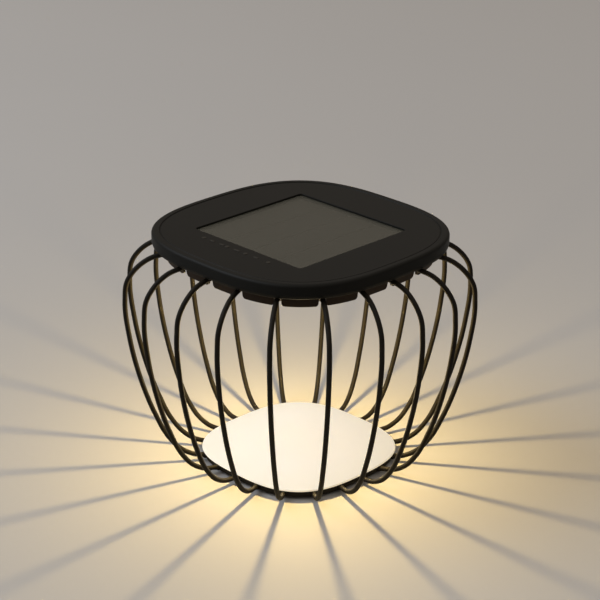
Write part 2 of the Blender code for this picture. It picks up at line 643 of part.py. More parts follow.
def build_leads(mat):
    """Two-core leads: panel to connector, and controller board down to the LED board."""
    x, y = LEAD_TOP
    top = PANEL_GASKET_TOP_Z
    plug_top = BOARD_TOP_Z + FIT_GAP + CONNECTOR_TALL + FIT_GAP
    panel_route = [(x, y, top), (x, y, top - 0.8 * MM), (x, y + 0.5 * MM, (top + plug_top) / 2)]
    panel_route += [(x, y, plug_top + 0.8 * MM), (x, y, plug_top)]
    tube("panel_lead", smooth_path(panel_route, 10), LEAD_RADIUS, mat)
    led_low = LED_BOARD_Z + LED_BOARD_THICK + FIT_GAP
    board_low = BOARD_BOTTOM_Z - FIT_GAP
    led_route = [(-8.0 * MM, 4.0 * MM, board_low), (-8.0 * MM, 4.0 * MM, board_low - 2.0 * MM)]
    led_route += [(-9.0 * MM, 0.5 * MM, (board_low + led_low) / 2)]
    led_route += [(-8.0 * MM, -3.0 * MM, led_low + 2.0 * MM), (-8.0 * MM, -3.0 * MM, led_low)]
    tube("led_lead", smooth_path(led_route, 12), LEAD_RADIUS, mat)


# ---------------------------------------------------------------- cage
def tube(name, points, radius, mat, turn=0.0):
    """Round wire of eight sides along the points, with closed ends, turned about Z."""
    curve = bpy.data.curves.new(name, "CURVE")
    curve.dimensions = "3D"
    curve.bevel_depth = radius
    curve.bevel_resolution = 2
    curve.use_fill_caps = True
    spline = curve.splines.new("POLY")
    spline.points.add(len(points) - 1)
    for target, point in zip(spline.points, points):
        target.co = (*point, 1.0)
    curve.materials.append(mat)
    obj = bpy.data.objects.new(name, curve)
    obj.rotation_euler.z = turn
    bpy.context.scene.collection.objects.link(obj)
    return obj


def smooth_path(bends, count):
    """Count points on a cubic curve through the bends, closer together where it turns more."""
    bends = np.array(bends, dtype=float)
    knots = np.concatenate(([0.0], np.cumsum(np.linalg.norm(np.diff(bends, axis=0), axis=1))))
    slopes = np.gradient(bends, knots, axis=0)
    fine = np.linspace(0.0, knots[-1], 400)
    span = np.clip(np.searchsorted(knots, fine, side="right") - 1, 0, len(knots) - 2)
    width = knots[span + 1] - knots[span]
    t = ((fine - knots[span]) / width)[:, None]
    width = width[:, None]
    path = (2 * t**3 - 3 * t**2 + 1) * bends[span] + (t**3 - 2 * t**2 + t) * width * slopes[span]
    path += (3 * t**2 - 2 * t**3) * bends[span + 1] + (t**3 - t**2) * width * slopes[span + 1]
    steps = np.diff(path, axis=0)
    lengths = np.linalg.norm(steps, axis=1)
    headings = steps / lengths[:, None]
    turns = np.arccos(np.clip(np.sum(headings[1:] * headings[:-1], axis=1), -1.0, 1.0))
    weight = lengths / lengths.sum()
    weight[1:] += 1.5 * turns / max(turns.sum(), 1e-9)
    along = np.concatenate(([0.0], np.cumsum(weight)))
    wanted = np.linspace(0.0, along[-1], count)
    return np.stack([np.interp(wanted, along, path[:, axis]) for axis in range(bends.shape[1])], axis=1)


def wire_route(angle):
    """Points of the wire at an angle about the axis, laid in the XZ plane."""
    low_z = WIRE_BENDS[-1][1]
    high_z = WIRE_BENDS[0][1]
    route = [(squircle_radius(UPPER_RING_HALF, angle) + WIRE_END_GAP, 0.0, WIRE_TOP_Z)]
    for mean_radius, height in WIRE_BENDS:
        share = (height - low_z) / (high_z - low_z)
        swell = CORNER_SWELL_BOTTOM + (CORNER_SWELL_TOP - CORNER_SWELL_BOTTOM) * share
        radius = mean_radius * (1.0 - swell * math.cos(4 * angle))
        route.append((radius * MM, 0.0, height * MM))
    route.append((squircle_radius(LOWER_RING_HALF, angle) + WIRE_END_GAP, 0.0, WIRE_BOTTOM_Z))
    return smooth_path(route, WIRE_POINTS)


def build_cage_wires(mat):
    for step in range(WIRE_COUNT):
        angle = 2 * math.pi * step / WIRE_COUNT
        tube(f"cage_wire_{step + 1:02d}", wire_route(angle), WIRE_RADIUS, mat, turn=angle)


def build_upper_ring(mat):
    """Flat steel ring that the wire tops are welded to, with four screw holes."""
    bm = bmesh.new()
    low = UPPER_RING_TOP_Z - UPPER_RING_THICK
    inner = UPPER_RING_HALF - UPPER_RING_WIDTH
    sections = [(UPPER_RING_HALF, low), (UPPER_RING_HALF, UPPER_RING_TOP_Z)]
    sections += [(inner, UPPER_RING_TOP_Z), (inner, low)]
    loft(bm, sections, closed=True)
    ring = new_object("upper_ring", bm, mat)
    holes = bmesh.new()
    ring_screw_holes(holes, low - CUT_PAST, UPPER_RING_TOP_Z + CUT_PAST)
    combine(ring, "upper_ring_holes", holes, "DIFFERENCE")


# ---------------------------------------------------------------- base
def build_lower_ring(mat):
    bm = bmesh.new()
    low, high = LOWER_RING_Z
    inner = LOWER_RING_HALF - LOWER_RING_WIDTH
    loft(bm, [(LOWER_RING_HALF, low), (LOWER_RING_HALF, high), (inner, high), (inner, low)], closed=True)
    new_object("lower_ring", bm, mat)


def build_base_plate(mat):
    bm = bmesh.new()
    low, high = BASE_PLATE_Z
    loft(bm, [(BASE_PLATE_HALF, low), (BASE_PLATE_HALF, high)])
    plate = new_object("base_plate", bm, mat)
    holes = bmesh.new()
    hole_radius = BASE_SCREW[2] + HOLE_CLEARANCE
    for sign in (-1, 1):
        rod(holes, hole_radius, low - CUT_PAST, high + CUT_PAST, sign * BASE_SCREW_X)
    combine(plate, "base_plate_holes", holes, "DIFFERENCE")


def dome_height(share):
    """Height of the dome's outer face at a share of its half width."""
    return DOME_RIM_Z + DOME_RIM_TALL + DOME_RISE * (1.0 - share**2.4)


def build_reflector_dome(mat):
    """Low white dome, hollow below, with a spigot inside the lower ring and two screw bosses."""
    shares = [0.2, 0.42, 0.62, 0.8, 0.93]
    bm = bmesh.new()
    sections = [(DOME_HALF * share, dome_height(share)) for share in shares]
    sections += [(DOME_HALF - 0.5 * MM, DOME_RIM_Z + DOME_RIM_TALL)]
    sections += [(DOME_HALF, DOME_RIM_Z + DOME_RIM_TALL / 2)]
    sections += [(DOME_HALF, DOME_RIM_Z), (DOME_SPIGOT_HALF, DOME_RIM_Z), (DOME_SPIGOT_HALF, DOME_SPIGOT_Z)]
    sections += [(DOME_SPIGOT_HALF - DOME_WALL, DOME_SPIGOT_Z), (DOME_SPIGOT_HALF - DOME_WALL, DOME_RIM_Z)]
    sections += [(DOME_HALF * share, dome_height(share) - DOME_WALL) for share in reversed(shares[:-1])]
    loft(bm, sections)
    dome = new_object("reflector_dome", bm, mat)
    boss_top = dome_height(BASE_SCREW_X / DOME_HALF) - DOME_WALL / 2
    bosses = bmesh.new()
    holes = bmesh.new()
    hole_radius = BASE_SCREW[2] + HOLE_CLEARANCE
    for sign in (-1, 1):
        rod(bosses, DOME_BOSS_RADIUS, DOME_SPIGOT_Z, boss_top, sign * BASE_SCREW_X)
        rod(holes, hole_radius, DOME_SPIGOT_Z - CUT_PAST, BASE_SCREW_TIP_Z + TIP_AIR, sign * BASE_SCREW_X)
    combine(dome, "dome_bosses", bosses, "UNION")
    combine(dome, "dome_holes", holes, "DIFFERENCE")


def build_base_screws(mat):
    seat_z = BASE_PLATE_Z[0] - FIT_GAP
    for number, sign in enumerate((-1, 1), start=1):
        screw(f"base_screw_{number}", mat, sign * BASE_SCREW_X, 0.0, BASE_SCREW, seat_z, BASE_SCREW_TIP_Z)


def build_foot_pads(mat):
    number = 0
    for x in (-PAD_OFFSET, PAD_OFFSET):
        for y in (-PAD_OFFSET, PAD_OFFSET):
            number += 1
            bm = bmesh.new()
            edge = 0.3 * MM
            sections = [(PAD_RADIUS - edge, 0.0), (PAD_RADIUS, edge), (PAD_RADIUS, PAD_HEIGHT)]
            turned(bm, sections, count=16, x=x, y=y)
            new_object(f"foot_pad_{number}", bm, mat)


# ---------------------------------------------------------------- assembly
def build_lantern():
    black_plastic = make_material("black_plastic", (0.021, 0.020, 0.017), 0.55)
    black_steel = make_material("black_steel", (0.012, 0.011, 0.010), 0.42, metallic=0.3)
    bright_steel = make_material("bright_steel", (0.55, 0.54, 0.52), 0.3, metallic=1.0)
    window = make_material("window", (0.30, 0.29, 0.25), 0.12, alpha=0.35)
    silicon = make_material("silicon", (0.060, 0.058, 0.048), 0.35)
    green_board = make_material("green_board", (0.03, 0.16, 0.07), 0.5)
    white_board = make_material("white_board", (0.8, 0.8, 0.78), 0.5)
    dark_resin = make_material("dark_resin", (0.02, 0.02, 0.02), 0.6)
    white_nylon = make_material("white_nylon", (0.75, 0.73, 0.66), 0.5)
    grey_wrap = make_material("grey_wrap", (0.20, 0.22, 0.24), 0.45)
    rubber = make_material("rubber", (0.02, 0.02, 0.02), 0.85)
    button_grey = make_material("button_grey", (0.12, 0.12, 0.12), 0.5)
    white_diffuser = make_material("white_diffuser", (0.90, 0.88, 0.80), 0.5)
    lens_acrylic = make_material("lens_acrylic", (0.9, 0.9, 0.88), 0.2, alpha=0.6)
    led_phosphor = make_material("led_phosphor", (0.95, 0.78, 0.35), 0.5)
    red_sleeve = make_material("red_sleeve", (0.35, 0.03, 0.02), 0.5)

    build_top_cover(black_plastic)
    build_solar_glass(window)
    build_solar_cells(silicon)
    build_cell_board(white_board)
    build_panel_gasket(rubber)
    build_head_base(black_plastic)
    build_head_gasket(rubber)
    build_head_screws(bright_steel)
    build_controller(green_board, dark_resin, dark_resin, white_nylon)
    build_mode_button(button_grey)
    build_lens(lens_acrylic)
    build_led(white_board, led_phosphor)
    build_battery(grey_wrap, bright_steel)
    build_battery_door(black_plastic, bright_steel)
    build_leads(red_sleeve)
    build_upper_ring(black_steel)
    build_cage_wires(black_steel)
    build_lower_ring(black_steel)
    build_base_plate(black_steel)
    build_reflector_dome(white_diffuser)
    build_base_screws(bright_steel)
    build_foot_pads(rubber)


clear_scene()
build_lantern()
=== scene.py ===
"""Solar table lantern, finished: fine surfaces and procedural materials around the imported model.

Frame: origin on the table under the middle of the base, +Z up, the flat sides of the square
head facing X and Y, the mode button towards -Y. Lengths are metres; MM converts millimetres.
"""

import math

import bpy
import numpy as np
from mathutils import Matrix, Vector


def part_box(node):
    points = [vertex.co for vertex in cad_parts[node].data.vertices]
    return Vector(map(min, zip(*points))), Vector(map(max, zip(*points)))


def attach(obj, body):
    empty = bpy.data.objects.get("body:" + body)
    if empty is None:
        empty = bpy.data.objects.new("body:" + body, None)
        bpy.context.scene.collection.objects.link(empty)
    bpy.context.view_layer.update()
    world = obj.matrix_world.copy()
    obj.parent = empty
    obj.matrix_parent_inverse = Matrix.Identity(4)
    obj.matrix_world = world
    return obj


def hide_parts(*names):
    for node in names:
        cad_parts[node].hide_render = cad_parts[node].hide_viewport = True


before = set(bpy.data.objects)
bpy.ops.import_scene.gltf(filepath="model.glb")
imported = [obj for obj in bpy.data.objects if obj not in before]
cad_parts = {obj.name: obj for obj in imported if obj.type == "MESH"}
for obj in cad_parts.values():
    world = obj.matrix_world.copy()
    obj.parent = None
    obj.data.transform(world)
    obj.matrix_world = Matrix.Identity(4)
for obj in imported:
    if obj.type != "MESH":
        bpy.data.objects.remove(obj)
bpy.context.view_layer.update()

MM = 0.001
BODY = "lantern"
BUTTON_BODY = "mode_button"


# ---------------------------------------------------------------- sizes taken from the frame
def low_of(node):
    """Lowest x, y and z of a node, at rest."""
    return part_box(node)[0]


def high_of(node):
    """Highest x, y and z of a node, at rest."""
    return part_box(node)[1]


SQUARENESS = 2.9                       # exponent of the rounded-square outlines
SHARP_SQUARE = 60.0                    # exponent of the panel's nearly sharp square
AXIS = 1.0 * MM                        # where a skin's outline starts or ends, close to the axis
OUTLINE_POINTS = 360

COVER_HALF = high_of("top_cover").x
COVER_TOP = high_of("top_cover").z
COVER_EDGE = low_of("top_cover").z
COVER_FACE = COVER_TOP - 0.28 * MM     # flat top, a little under the rounded rim
SHOULDER = 4.4 * MM
GLASS_HALF = high_of("solar_glass").x
GLASS_TOP = high_of("solar_glass").z
GLASS_LOW = low_of("solar_glass").z
GASKET_LOW = low_of("panel_gasket").z
MARK_LINE = -50.0 * MM

FLANGE_HALF = high_of("head_base").x
FLANGE_TOP = high_of("head_base").z
FLANGE_LOW = FLANGE_TOP - 1.6 * MM
HUB_LOW = low_of("head_base").z
HUB_FLOOR = HUB_LOW + 2.0 * MM
HUB_HALF = 40.0 * MM
HUB_TOP_HALF = 53.2 * MM
HUB_SLOPE = 126.4 * MM                 # below this height the hub narrows
HUB_WALL = 2.0 * MM
SKIRT_TOP_HALF = 71.8 * MM
SKIRT_LOW_HALF = 70.5 * MM
SKIRT_LOW = 130.5 * MM
SKIRT_WALL = 1.8 * MM

WIRE_COUNT = 20
WIRE_RADIUS = 1.49 * MM
WIRE_TOP = 135.4 * MM
WIRE_LOW = 3.4 * MM
# Bends of one wire from head to base: mean distance from the axis, height, in millimetres
WIRE_BENDS = [
    (76.5, 135.3), (84.5, 133.4), (92.6, 127.8), (98.6, 119.0), (100.1, 107.5),
    (98.3, 83.5), (93.1, 57.5), (85.4, 33.5), (77.9, 17.4), (70.5, 8.6), (64.0, 4.9),
]
CORNER_SWELL_TOP = 0.039               # share by which the cage stands out at its corners
CORNER_SWELL_LOW = 0.022
NOTCH_WIDTH = 4.2 * MM
NOTCH_TOP = 137.4 * MM

UPPER_RING_HALF = high_of("upper_ring").x
LOWER_RING_HALF = high_of("lower_ring").x
DOME_HALF = high_of("reflector_dome").x
DOME_TOP = high_of("reflector_dome").z
DOME_RIM = 5.5 * MM


def middle_of(node, axis):
    low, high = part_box(node)
    return (low[axis] + high[axis]) / 2


RING_SCREWS = [(middle_of(f"ring_screw_{n}", 0), middle_of(f"ring_screw_{n}", 1)) for n in (1, 2, 3, 4)]
RING_HOLE_RADIUS = 1.8 * MM
BASE_SCREWS = [middle_of(f"base_screw_{n}", 0) for n in (1, 2)]
SMALL_HOLE_RADIUS = 1.3 * MM           # in the floor plate and the battery hatch
DOOR_Y = middle_of("battery_door", 1)
DOOR_SCREW_X = middle_of("door_screw", 0)
BUTTON_Y = middle_of("mode_button", 1)
BUTTON_RADIUS = 4.5 * MM
LENS_RADIUS = 9.0 * MM
HOLE_GAP = 0.3 * MM                    # round the lens and the button
PAST = 1.0 * MM                        # how far a cutter runs past what it cuts


# ---------------------------------------------------------------- meshes
def unit_outline(exponent, angles):
    """Distance from the axis to a rounded square of half width 1: (|cos|^n + |sin|^n)^(-1/n)."""
    spread = np.abs(np.cos(angles)) ** exponent + np.abs(np.sin(angles)) ** exponent
    return spread ** (-1.0 / exponent)


def grid_faces(rows, columns, wrap_rows):
    """Quads between neighbouring points of a grid whose columns close on themselves."""
    last = rows if wrap_rows else rows - 1
    row, column = np.meshgrid(np.arange(last), np.arange(columns), indexing="ij")
    after_row = (row + 1) % rows
    after_column = (column + 1) % columns
    corners = (row * columns + column, row * columns + after_column,
               after_row * columns + after_column, after_row * columns + column)
    return np.stack([corner.ravel() for corner in corners], axis=1)


def signed_volume(points, faces):
    """Sum of the tetrahedra from the origin to each face, each quad taken as two triangles."""
    volume = 0.0
    for second, third in ((1, 2), (2, 3)) if faces.shape[1] == 4 else ((1, 2),):
        a, b, c = points[faces[:, 0]], points[faces[:, second]], points[faces[:, third]]
        volume += np.einsum("ij,ij->i", a, np.cross(b, c)).sum() / 6.0
    return volume


def shell(name, rows, wrap_rows=False):
    """A closed mesh from rows of points (row, column, xyz); open ends get a middle point and a fan."""
    rows = np.asarray(rows, dtype=float)
    count, columns = rows.shape[:2]
    points = rows.reshape(-1, 3)
    quads = grid_faces(count, columns, wrap_rows)
    fans = np.zeros((0, 3), dtype=int)
    if not wrap_rows:
        points = np.vstack([points, rows[0].mean(axis=0), rows[-1].mean(axis=0)])
        edge = np.arange(columns)
        after = (edge + 1) % columns
        start = (count - 1) * columns
        first = np.stack([after, edge, np.full(columns, count * columns)], axis=1)
        final = np.stack([start + edge, start + after, np.full(columns, count * columns + 1)], axis=1)
        fans = np.vstack([first, final])
    if signed_volume(points, quads) + signed_volume(points, fans) < 0:
        quads, fans = quads[:, ::-1], fans[:, ::-1]
    mesh = bpy.data.meshes.new(name)
    mesh.from_pydata(points.tolist(), [], quads.tolist() + fans.tolist())
    mesh.validate()
    mesh.shade_smooth()
    mesh.set_sharp_from_angle(angle=math.radians(40))
    obj = bpy.data.objects.new(name, mesh)
    bpy.context.scene.collection.objects.link(obj)
    return obj


def fillet(corners, steps=5):
    """A path through (across, height, radius) corners, each rounded by a circular arc of that radius.

    At a corner with an opening angle A the arc touches both legs radius / tan(A/2) from the corner,
    and its middle lies radius / sin(A/2) along the bisector.
    """
    path = []
    for index, (x, z, radius) in enumerate(corners):
        here = np.array((x, z))
        if radius <= 0 or index in (0, len(corners) - 1):
            path.append(here)
            continue
        back = np.array(corners[index - 1][:2]) - here
        ahead = np.array(corners[index + 1][:2]) - here
        back_length, ahead_length = np.linalg.norm(back), np.linalg.norm(ahead)
        back, ahead = back / back_length, ahead / ahead_length
        half = math.acos(np.clip(back @ ahead, -1, 1)) / 2
        reach = min(radius / math.tan(half), 0.49 * back_length, 0.49 * ahead_length)
        bisector = (back + ahead) / np.linalg.norm(back + ahead)
        middle = here + bisector * reach / math.cos(half)
        from_middle, to_middle = here + back * reach - middle, here + ahead * reach - middle
        swing = math.pi - 2 * half
        for step in range(steps + 1):
            part = step / steps
            weight_a = math.sin((1 - part) * swing) / math.sin(swing)
            weight_b = math.sin(part * swing) / math.sin(swing)
            path.append(middle + weight_a * from_middle + weight_b * to_middle)
    return np.array(path)


def squared_rows(path, exponents=SQUARENESS, count=OUTLINE_POINTS):
    """Rounded-square outlines, one for each (half width, height) of a path."""
    angles = np.linspace(0, 2 * np.pi, count, endpoint=False)
    exponents = np.broadcast_to(exponents, (len(path),))
    unit = np.stack([unit_outline(exponent, angles) for exponent in exponents])
    radius = path[:, :1] * unit
    height = np.broadcast_to(path[:, 1:2], radius.shape)
    return np.stack([radius * np.cos(angles), radius * np.sin(angles), height], axis=2)


def turned_rows(path, x=0.0, y=0.0, count=72):
    """Circles about the vertical axis at (x, y), one for each (radius, height) of a path."""
    rows = squared_rows(path, exponents=2.0, count=count)
    rows[:, :, 0] += x
    rows[:, :, 1] += y
    return rows


def finish_piece(obj, material, slot, *nodes, body=BODY):
    """Gives a piece its material, hides the model nodes it stands for, and lets it ride."""
    obj.data.materials.clear()
    obj.data.materials.append(material)
    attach(obj, body)
    if nodes:
        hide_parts(*nodes)
    return obj


# ---------------------------------------------------------------- materials
class Value:
    """A number travelling through a material: arithmetic on it adds Math nodes."""

    def __init__(self, finish, socket):
        self.finish = finish
        self.socket = socket

    def math(self, operation, *others):
        inputs = dict(enumerate((self, *others)))
        node = self.finish.node("ShaderNodeMath", {"operation": operation}, inputs)
        return Value(self.finish, node.outputs[0])

    def flipped(self, operation, other):
        node = self.finish.node("ShaderNodeMath", {"operation": operation}, {0: other, 1: self})
        return Value(self.finish, node.outputs[0])

    def __add__(self, other):
        return self.math("ADD", other)

    def __sub__(self, other):
        return self.math("SUBTRACT", other)

    def __mul__(self, other):
        return self.math("MULTIPLY", other)

    def __truediv__(self, other):
        return self.math("DIVIDE", other)

    def __rsub__(self, other):
        return self.flipped("SUBTRACT", other)

    __radd__ = __add__
    __rmul__ = __mul__


class Finish:
    """One Principled material, built node by node on Object coordinates."""

    SOCKETS = {"specular_ior_level": "Specular IOR Level"}    # the others are title case

    def __init__(self, name, **constants):
        self.material = bpy.data.materials.new(name)
        self.material.use_nodes = True
        self.tree = self.material.node_tree
        self.shader = self.tree.nodes["Principled BSDF"]
        for label, value in constants.items():
            socket = self.SOCKETS.get(label, label.replace("_", " ").title())
            self.shader.inputs[socket].default_value = value
        self.place = self.node("ShaderNodeTexCoord").outputs["Object"]

    def node(self, kind, settings=None, inputs=None):
        """Adds a node: its settings first, then its sockets as values, Values or output sockets."""
        node = self.tree.nodes.new(kind)
        for label, value in (settings or {}).items():
            if label == "stops":
                self.set_stops(node.color_ramp, value)
            else:
                setattr(node, label, value)
        for label, value in (inputs or {}).items():
            self.feed(node.inputs[label], value)
        return node

    def feed(self, socket, value):
        if isinstance(value, Value):
            value = value.socket
        if isinstance(value, bpy.types.NodeSocket):
            self.tree.links.new(value, socket)
        else:
            socket.default_value = value

    @staticmethod
    def set_stops(ramp, stops):
        while len(ramp.elements) < len(stops):
            ramp.elements.new(1.0)
        for element, (position, color) in zip(ramp.elements, stops):
            element.position = position
            element.color = (*color, 1.0)

    def noise(self, scale, detail=2.0, roughness=0.5, stretch=None):
        """Noise from 0 to 1, about 1 / scale metres across; stretch squeezes it along each axis."""
        place = self.place
        if stretch is not None:
            place = self.node("ShaderNodeMapping", inputs={"Vector": place, "Scale": stretch}).outputs[0]
        node = self.node("ShaderNodeTexNoise", inputs={"Vector": place, "Scale": scale, "Detail": detail,
                                                       "Roughness": roughness})
        return Value(self, node.outputs["Fac"])

    def axes(self):
        node = self.node("ShaderNodeSeparateXYZ", inputs={0: self.place})
        return [Value(self, output) for output in node.outputs]

    def fade(self, value, low, high):
        """0 where value is under low, 1 above high, smooth between."""
        node = self.node("ShaderNodeMapRange", {"interpolation_type": "SMOOTHSTEP"},
                         {"Value": value, "From Min": low, "From Max": high})
        return Value(self, node.outputs["Result"])

    def between(self, share, color_a, color_b):
        """Colour a where share is 0 and b where it is 1."""
        colors = [(*color, 1.0) if isinstance(color, tuple) else color for color in (color_a, color_b)]
        inputs = dict(zip((0, 6, 7), (share, *colors)))
        return self.node("ShaderNodeMix", {"data_type": "RGBA"}, inputs).outputs[2]

    def bump(self, height, depth):
        """Relief of that depth in metres on the surface normal."""
        node = self.node("ShaderNodeBump", inputs={"Height": height, "Distance": depth, "Strength": 1.0})
        self.tree.links.new(node.outputs[0], self.shader.inputs["Normal"])

    def set(self, label, value):
        self.feed(self.shader.inputs[label], value)


def moulded_black(name, color, roughness):
    """Black plastic with a fine spark-eroded grain and faint handling marks."""
    finish = Finish(name, specular_ior_level=0.09)
    marks = finish.noise(28.0, detail=5.0, roughness=0.62)
    grain = finish.noise(2600.0, detail=1.0)
    pores = finish.noise(900.0, detail=2.0)
    lighter = tuple(channel * 1.35 for channel in color)
    finish.set("Base Color", finish.between(finish.fade(marks, 0.35, 0.7), color, lighter))
    finish.set("Roughness", roughness - 0.06 + marks * 0.14)
    finish.bump(grain * 0.6 + pores * 0.4, 0.05 * MM)
    return finish.material


def powder_coat(name, color):
    """Satin black powder coat on steel: soft orange peel and a little dust."""
    finish = Finish(name, specular_ior_level=0.1)
    peel = finish.noise(700.0, detail=1.5)
    dust = finish.noise(60.0, detail=4.0, roughness=0.6)
    dusty = tuple(channel * 1.9 for channel in color)
    finish.set("Base Color", finish.between(finish.fade(dust, 0.45, 0.8), color, dusty))
    finish.set("Roughness", 0.50 + dust * 0.16)
    finish.bump(peel, 0.06 * MM)
    return finish.material


def panel_window():
    """Clear cover of the solar panel: satin, slightly wavy, tinted olive by what lies under it."""
    finish = Finish("panel_window", alpha=0.55, specular_ior_level=0.35)
    smear = finish.noise(24.0, detail=4.0, roughness=0.55, stretch=(1.0, 0.45, 1.0))
    finish.set("Base Color", finish.between(smear, (0.048, 0.048, 0.036), (0.060, 0.060, 0.047)))
    finish.set("Roughness", 0.24 + smear * 0.12)
    finish.bump(finish.noise(240.0, detail=2.0), 0.02 * MM)
    return finish.material


def silicon():
    """Olive-grey wafer with fine collecting lines every 1.9 mm."""
    finish = Finish("silicon", specular_ior_level=0.5)
    _, y, _ = finish.axes()
    pitch = 1.9 * MM
    line = ((y / pitch).math("FRACT") - 0.5).math("ABSOLUTE")
    fingers = 1 - finish.fade(line, 0.025, 0.055)
    crystal = finish.noise(90.0, detail=3.0)
    base = finish.between(crystal, (0.045, 0.046, 0.034), (0.058, 0.058, 0.044))
    finish.set("Base Color", finish.between(fingers * 0.3, base, (0.16, 0.16, 0.14)))
    finish.set("Roughness", 0.42 - fingers * 0.1)
    return finish.material


def painted_glow_white():
    """White translucent moulding with painted light: the lamp's light on it is painted in as an even, bright
    emission glow, a touch warmer towards its rim.
    """
    # the emission is a painted glow standing for the lamp's light falling on the dome
    finish = Finish("painted_glow_white", roughness=0.42, emission_strength=0.30, specular_ior_level=0.3)
    x, y, _ = finish.axes()
    far = (x * x + y * y).math("SQRT")
    # edge grows towards the rim, where the base colour and the painted glow turn warmer: painted warm light
    edge = finish.fade(far, 0.030, 0.060)
    finish.set("Base Color", finish.between(edge, (0.84, 0.83, 0.79), (0.80, 0.79, 0.74)))
    finish.set("Emission Color", finish.between(edge, (1.0, 0.87, 0.62), (1.0, 0.86, 0.58)))
    finish.bump(finish.noise(1500.0, detail=1.0), 0.02 * MM)
    return finish.material


def rubber(name):
    finish = Finish(name, specular_ior_level=0.3)
    wear = finish.noise(180.0, detail=3.0)
    finish.set("Base Color", finish.between(wear, (0.018, 0.018, 0.018), (0.034, 0.033, 0.032)))
    finish.set("Roughness", 0.78 + wear * 0.12)
    finish.bump(finish.noise(1800.0), 0.06 * MM)
    return finish.material


def plated_steel(name, color, roughness):
    """Zinc or nickel plate with fine tool marks."""
    finish = Finish(name, metallic=1.0)
    tone = finish.noise(220.0, detail=3.0)
    finish.set("Base Color", finish.between(tone, tuple(0.8 * channel for channel in color), color))
    finish.set("Roughness", roughness + tone * 0.15)
    finish.bump(finish.noise(1500.0, stretch=(1.0, 1.0, 6.0)), 0.02 * MM)
    return finish.material


def small_part(name, color, roughness, grain=900.0, depth=0.03 * MM, **constants):
    """Moulded or coated small parts: colour with slight blotches and a fine grain."""
    finish = Finish(name, **constants)
    blotch = finish.noise(150.0, detail=3.0)
    finish.set("Base Color", finish.between(blotch, color, tuple(0.82 * channel for channel in color)))
    finish.set("Roughness", roughness - 0.05 + blotch * 0.1)
    finish.bump(finish.noise(grain), depth)
    return finish.material


def circuit_board():
    """Green solder mask with raised straight tracks."""
    finish = Finish("circuit_board", specular_ior_level=0.5)
    x, _, _ = finish.axes()
    pitch = 3.1 * MM
    lines = finish.fade(((x / pitch).math("FRACT") - 0.5).math("ABSOLUTE"), 0.32, 0.36)
    tracks = lines * finish.fade(finish.noise(70.0, detail=0.0), 0.48, 0.5)
    finish.set("Base Color", finish.between(tracks, (0.012, 0.10, 0.035), (0.03, 0.20, 0.08)))
    finish.set("Roughness", 0.35 + finish.noise(400.0) * 0.15)
    finish.bump(tracks, 0.04 * MM)
    return finish.material


def lit_lens():
    """Frosted acrylic lens with fine rings, glowing from the LED behind it."""
    finish = Finish("lit_lens", roughness=0.3, alpha=0.85, emission_strength=9.0)
    x, y, _ = finish.axes()
    far = (x * x + y * y).math("SQRT")
    rings = ((far / (1.1 * MM)).math("FRACT") - 0.5).math("ABSOLUTE")
    glow = 1 - finish.fade(far, 0.0, 0.0095)
    finish.set("Base Color", finish.between(glow, (0.88, 0.86, 0.80), (0.97, 0.95, 0.90)))
    finish.set("Emission Color", finish.between(glow, (0.55, 0.38, 0.18), (1.0, 0.78, 0.45)))
    finish.bump(rings, 0.15 * MM)
    return finish.material


# ---------------------------------------------------------------- head
def build_cover(material):
    """Closed skin of the cover, followed from the pocket's floor over the shoulder to the underside.

    The top between pocket and shoulder is ruled: its outlines go from a nearly sharp square to the
    rounded square, so each row's radius is a weighted mean of the two outlines.
    """
    pocket = GLASS_HALF + 0.3 * MM
    pocket_floor = GASKET_LOW - 0.3 * MM
    pocket_under = GASKET_LOW - 1.8 * MM
    rim = COVER_HALF - SHOULDER
    groove = COVER_FACE - 0.32 * MM
    lip = COVER_HALF - 2.2 * MM
    ledge = COVER_EDGE + 2.3 * MM
    cavity = COVER_HALF - 5.8 * MM
    ceiling = COVER_TOP - 2.0 * MM
    inside = fillet([(AXIS, pocket_floor, 0), (pocket, pocket_floor, 0.2 * MM),
                     (pocket, COVER_FACE, 0.35 * MM), (pocket + 1.5 * MM, COVER_FACE, 0)])
    reach = np.array([rim - 1.4 * MM - inside[-1, 0], 0.0])
    ruled = np.linspace(0.0, 1.0, 12)[1:-1, None] * reach + inside[-1]
    outside = fillet([(rim - 1.2 * MM, COVER_FACE, 0), (rim - 0.7 * MM, COVER_FACE, 0.25 * MM),
                      (rim - 0.45 * MM, groove, 0.2 * MM), (rim - 0.1 * MM, groove, 0.2 * MM),
                      (rim + 0.25 * MM, COVER_TOP - 0.02 * MM, 0.5 * MM), (COVER_HALF, COVER_TOP, SHOULDER),
                      (COVER_HALF, COVER_EDGE + 2.0 * MM, 2.0 * MM),
                      (COVER_HALF - 0.7 * MM, COVER_EDGE, 0.7 * MM), (lip, COVER_EDGE, 0.3 * MM),
                      (lip, ledge, 0.2 * MM), (cavity, ledge, 0.3 * MM), (cavity, ceiling, 1.0 * MM),
                      (pocket + 9.0 * MM, ceiling, 0)], steps=8)
    below = fillet([(pocket + 1.7 * MM, ceiling, 0), (pocket + 1.6 * MM, pocket_under, 0.4 * MM),
                    (AXIS, pocket_under, 0)])
    angles = np.linspace(0, 2 * np.pi, 720, endpoint=False)
    sharp, soft = unit_outline(SHARP_SQUARE, angles), unit_outline(SQUARENESS, angles)
    path = np.vstack([inside, ruled, outside, below])
    start, stop = len(inside), len(inside) + len(ruled)
    share = np.zeros(len(path))
    share[start:stop] = np.linspace(0.0, 1.0, len(ruled) + 2)[1:-1]
    share[stop:stop + len(outside)] = 1.0
    radius = path[:, :1] * ((1 - share[:, None]) * sharp + share[:, None] * soft)
    height = np.broadcast_to(path[:, 1:2], radius.shape)
    rows = np.stack([radius * np.cos(angles), radius * np.sin(angles), height], axis=2)
    finish_piece(shell("cover_shell", rows), material, "top_cover", "top_cover")


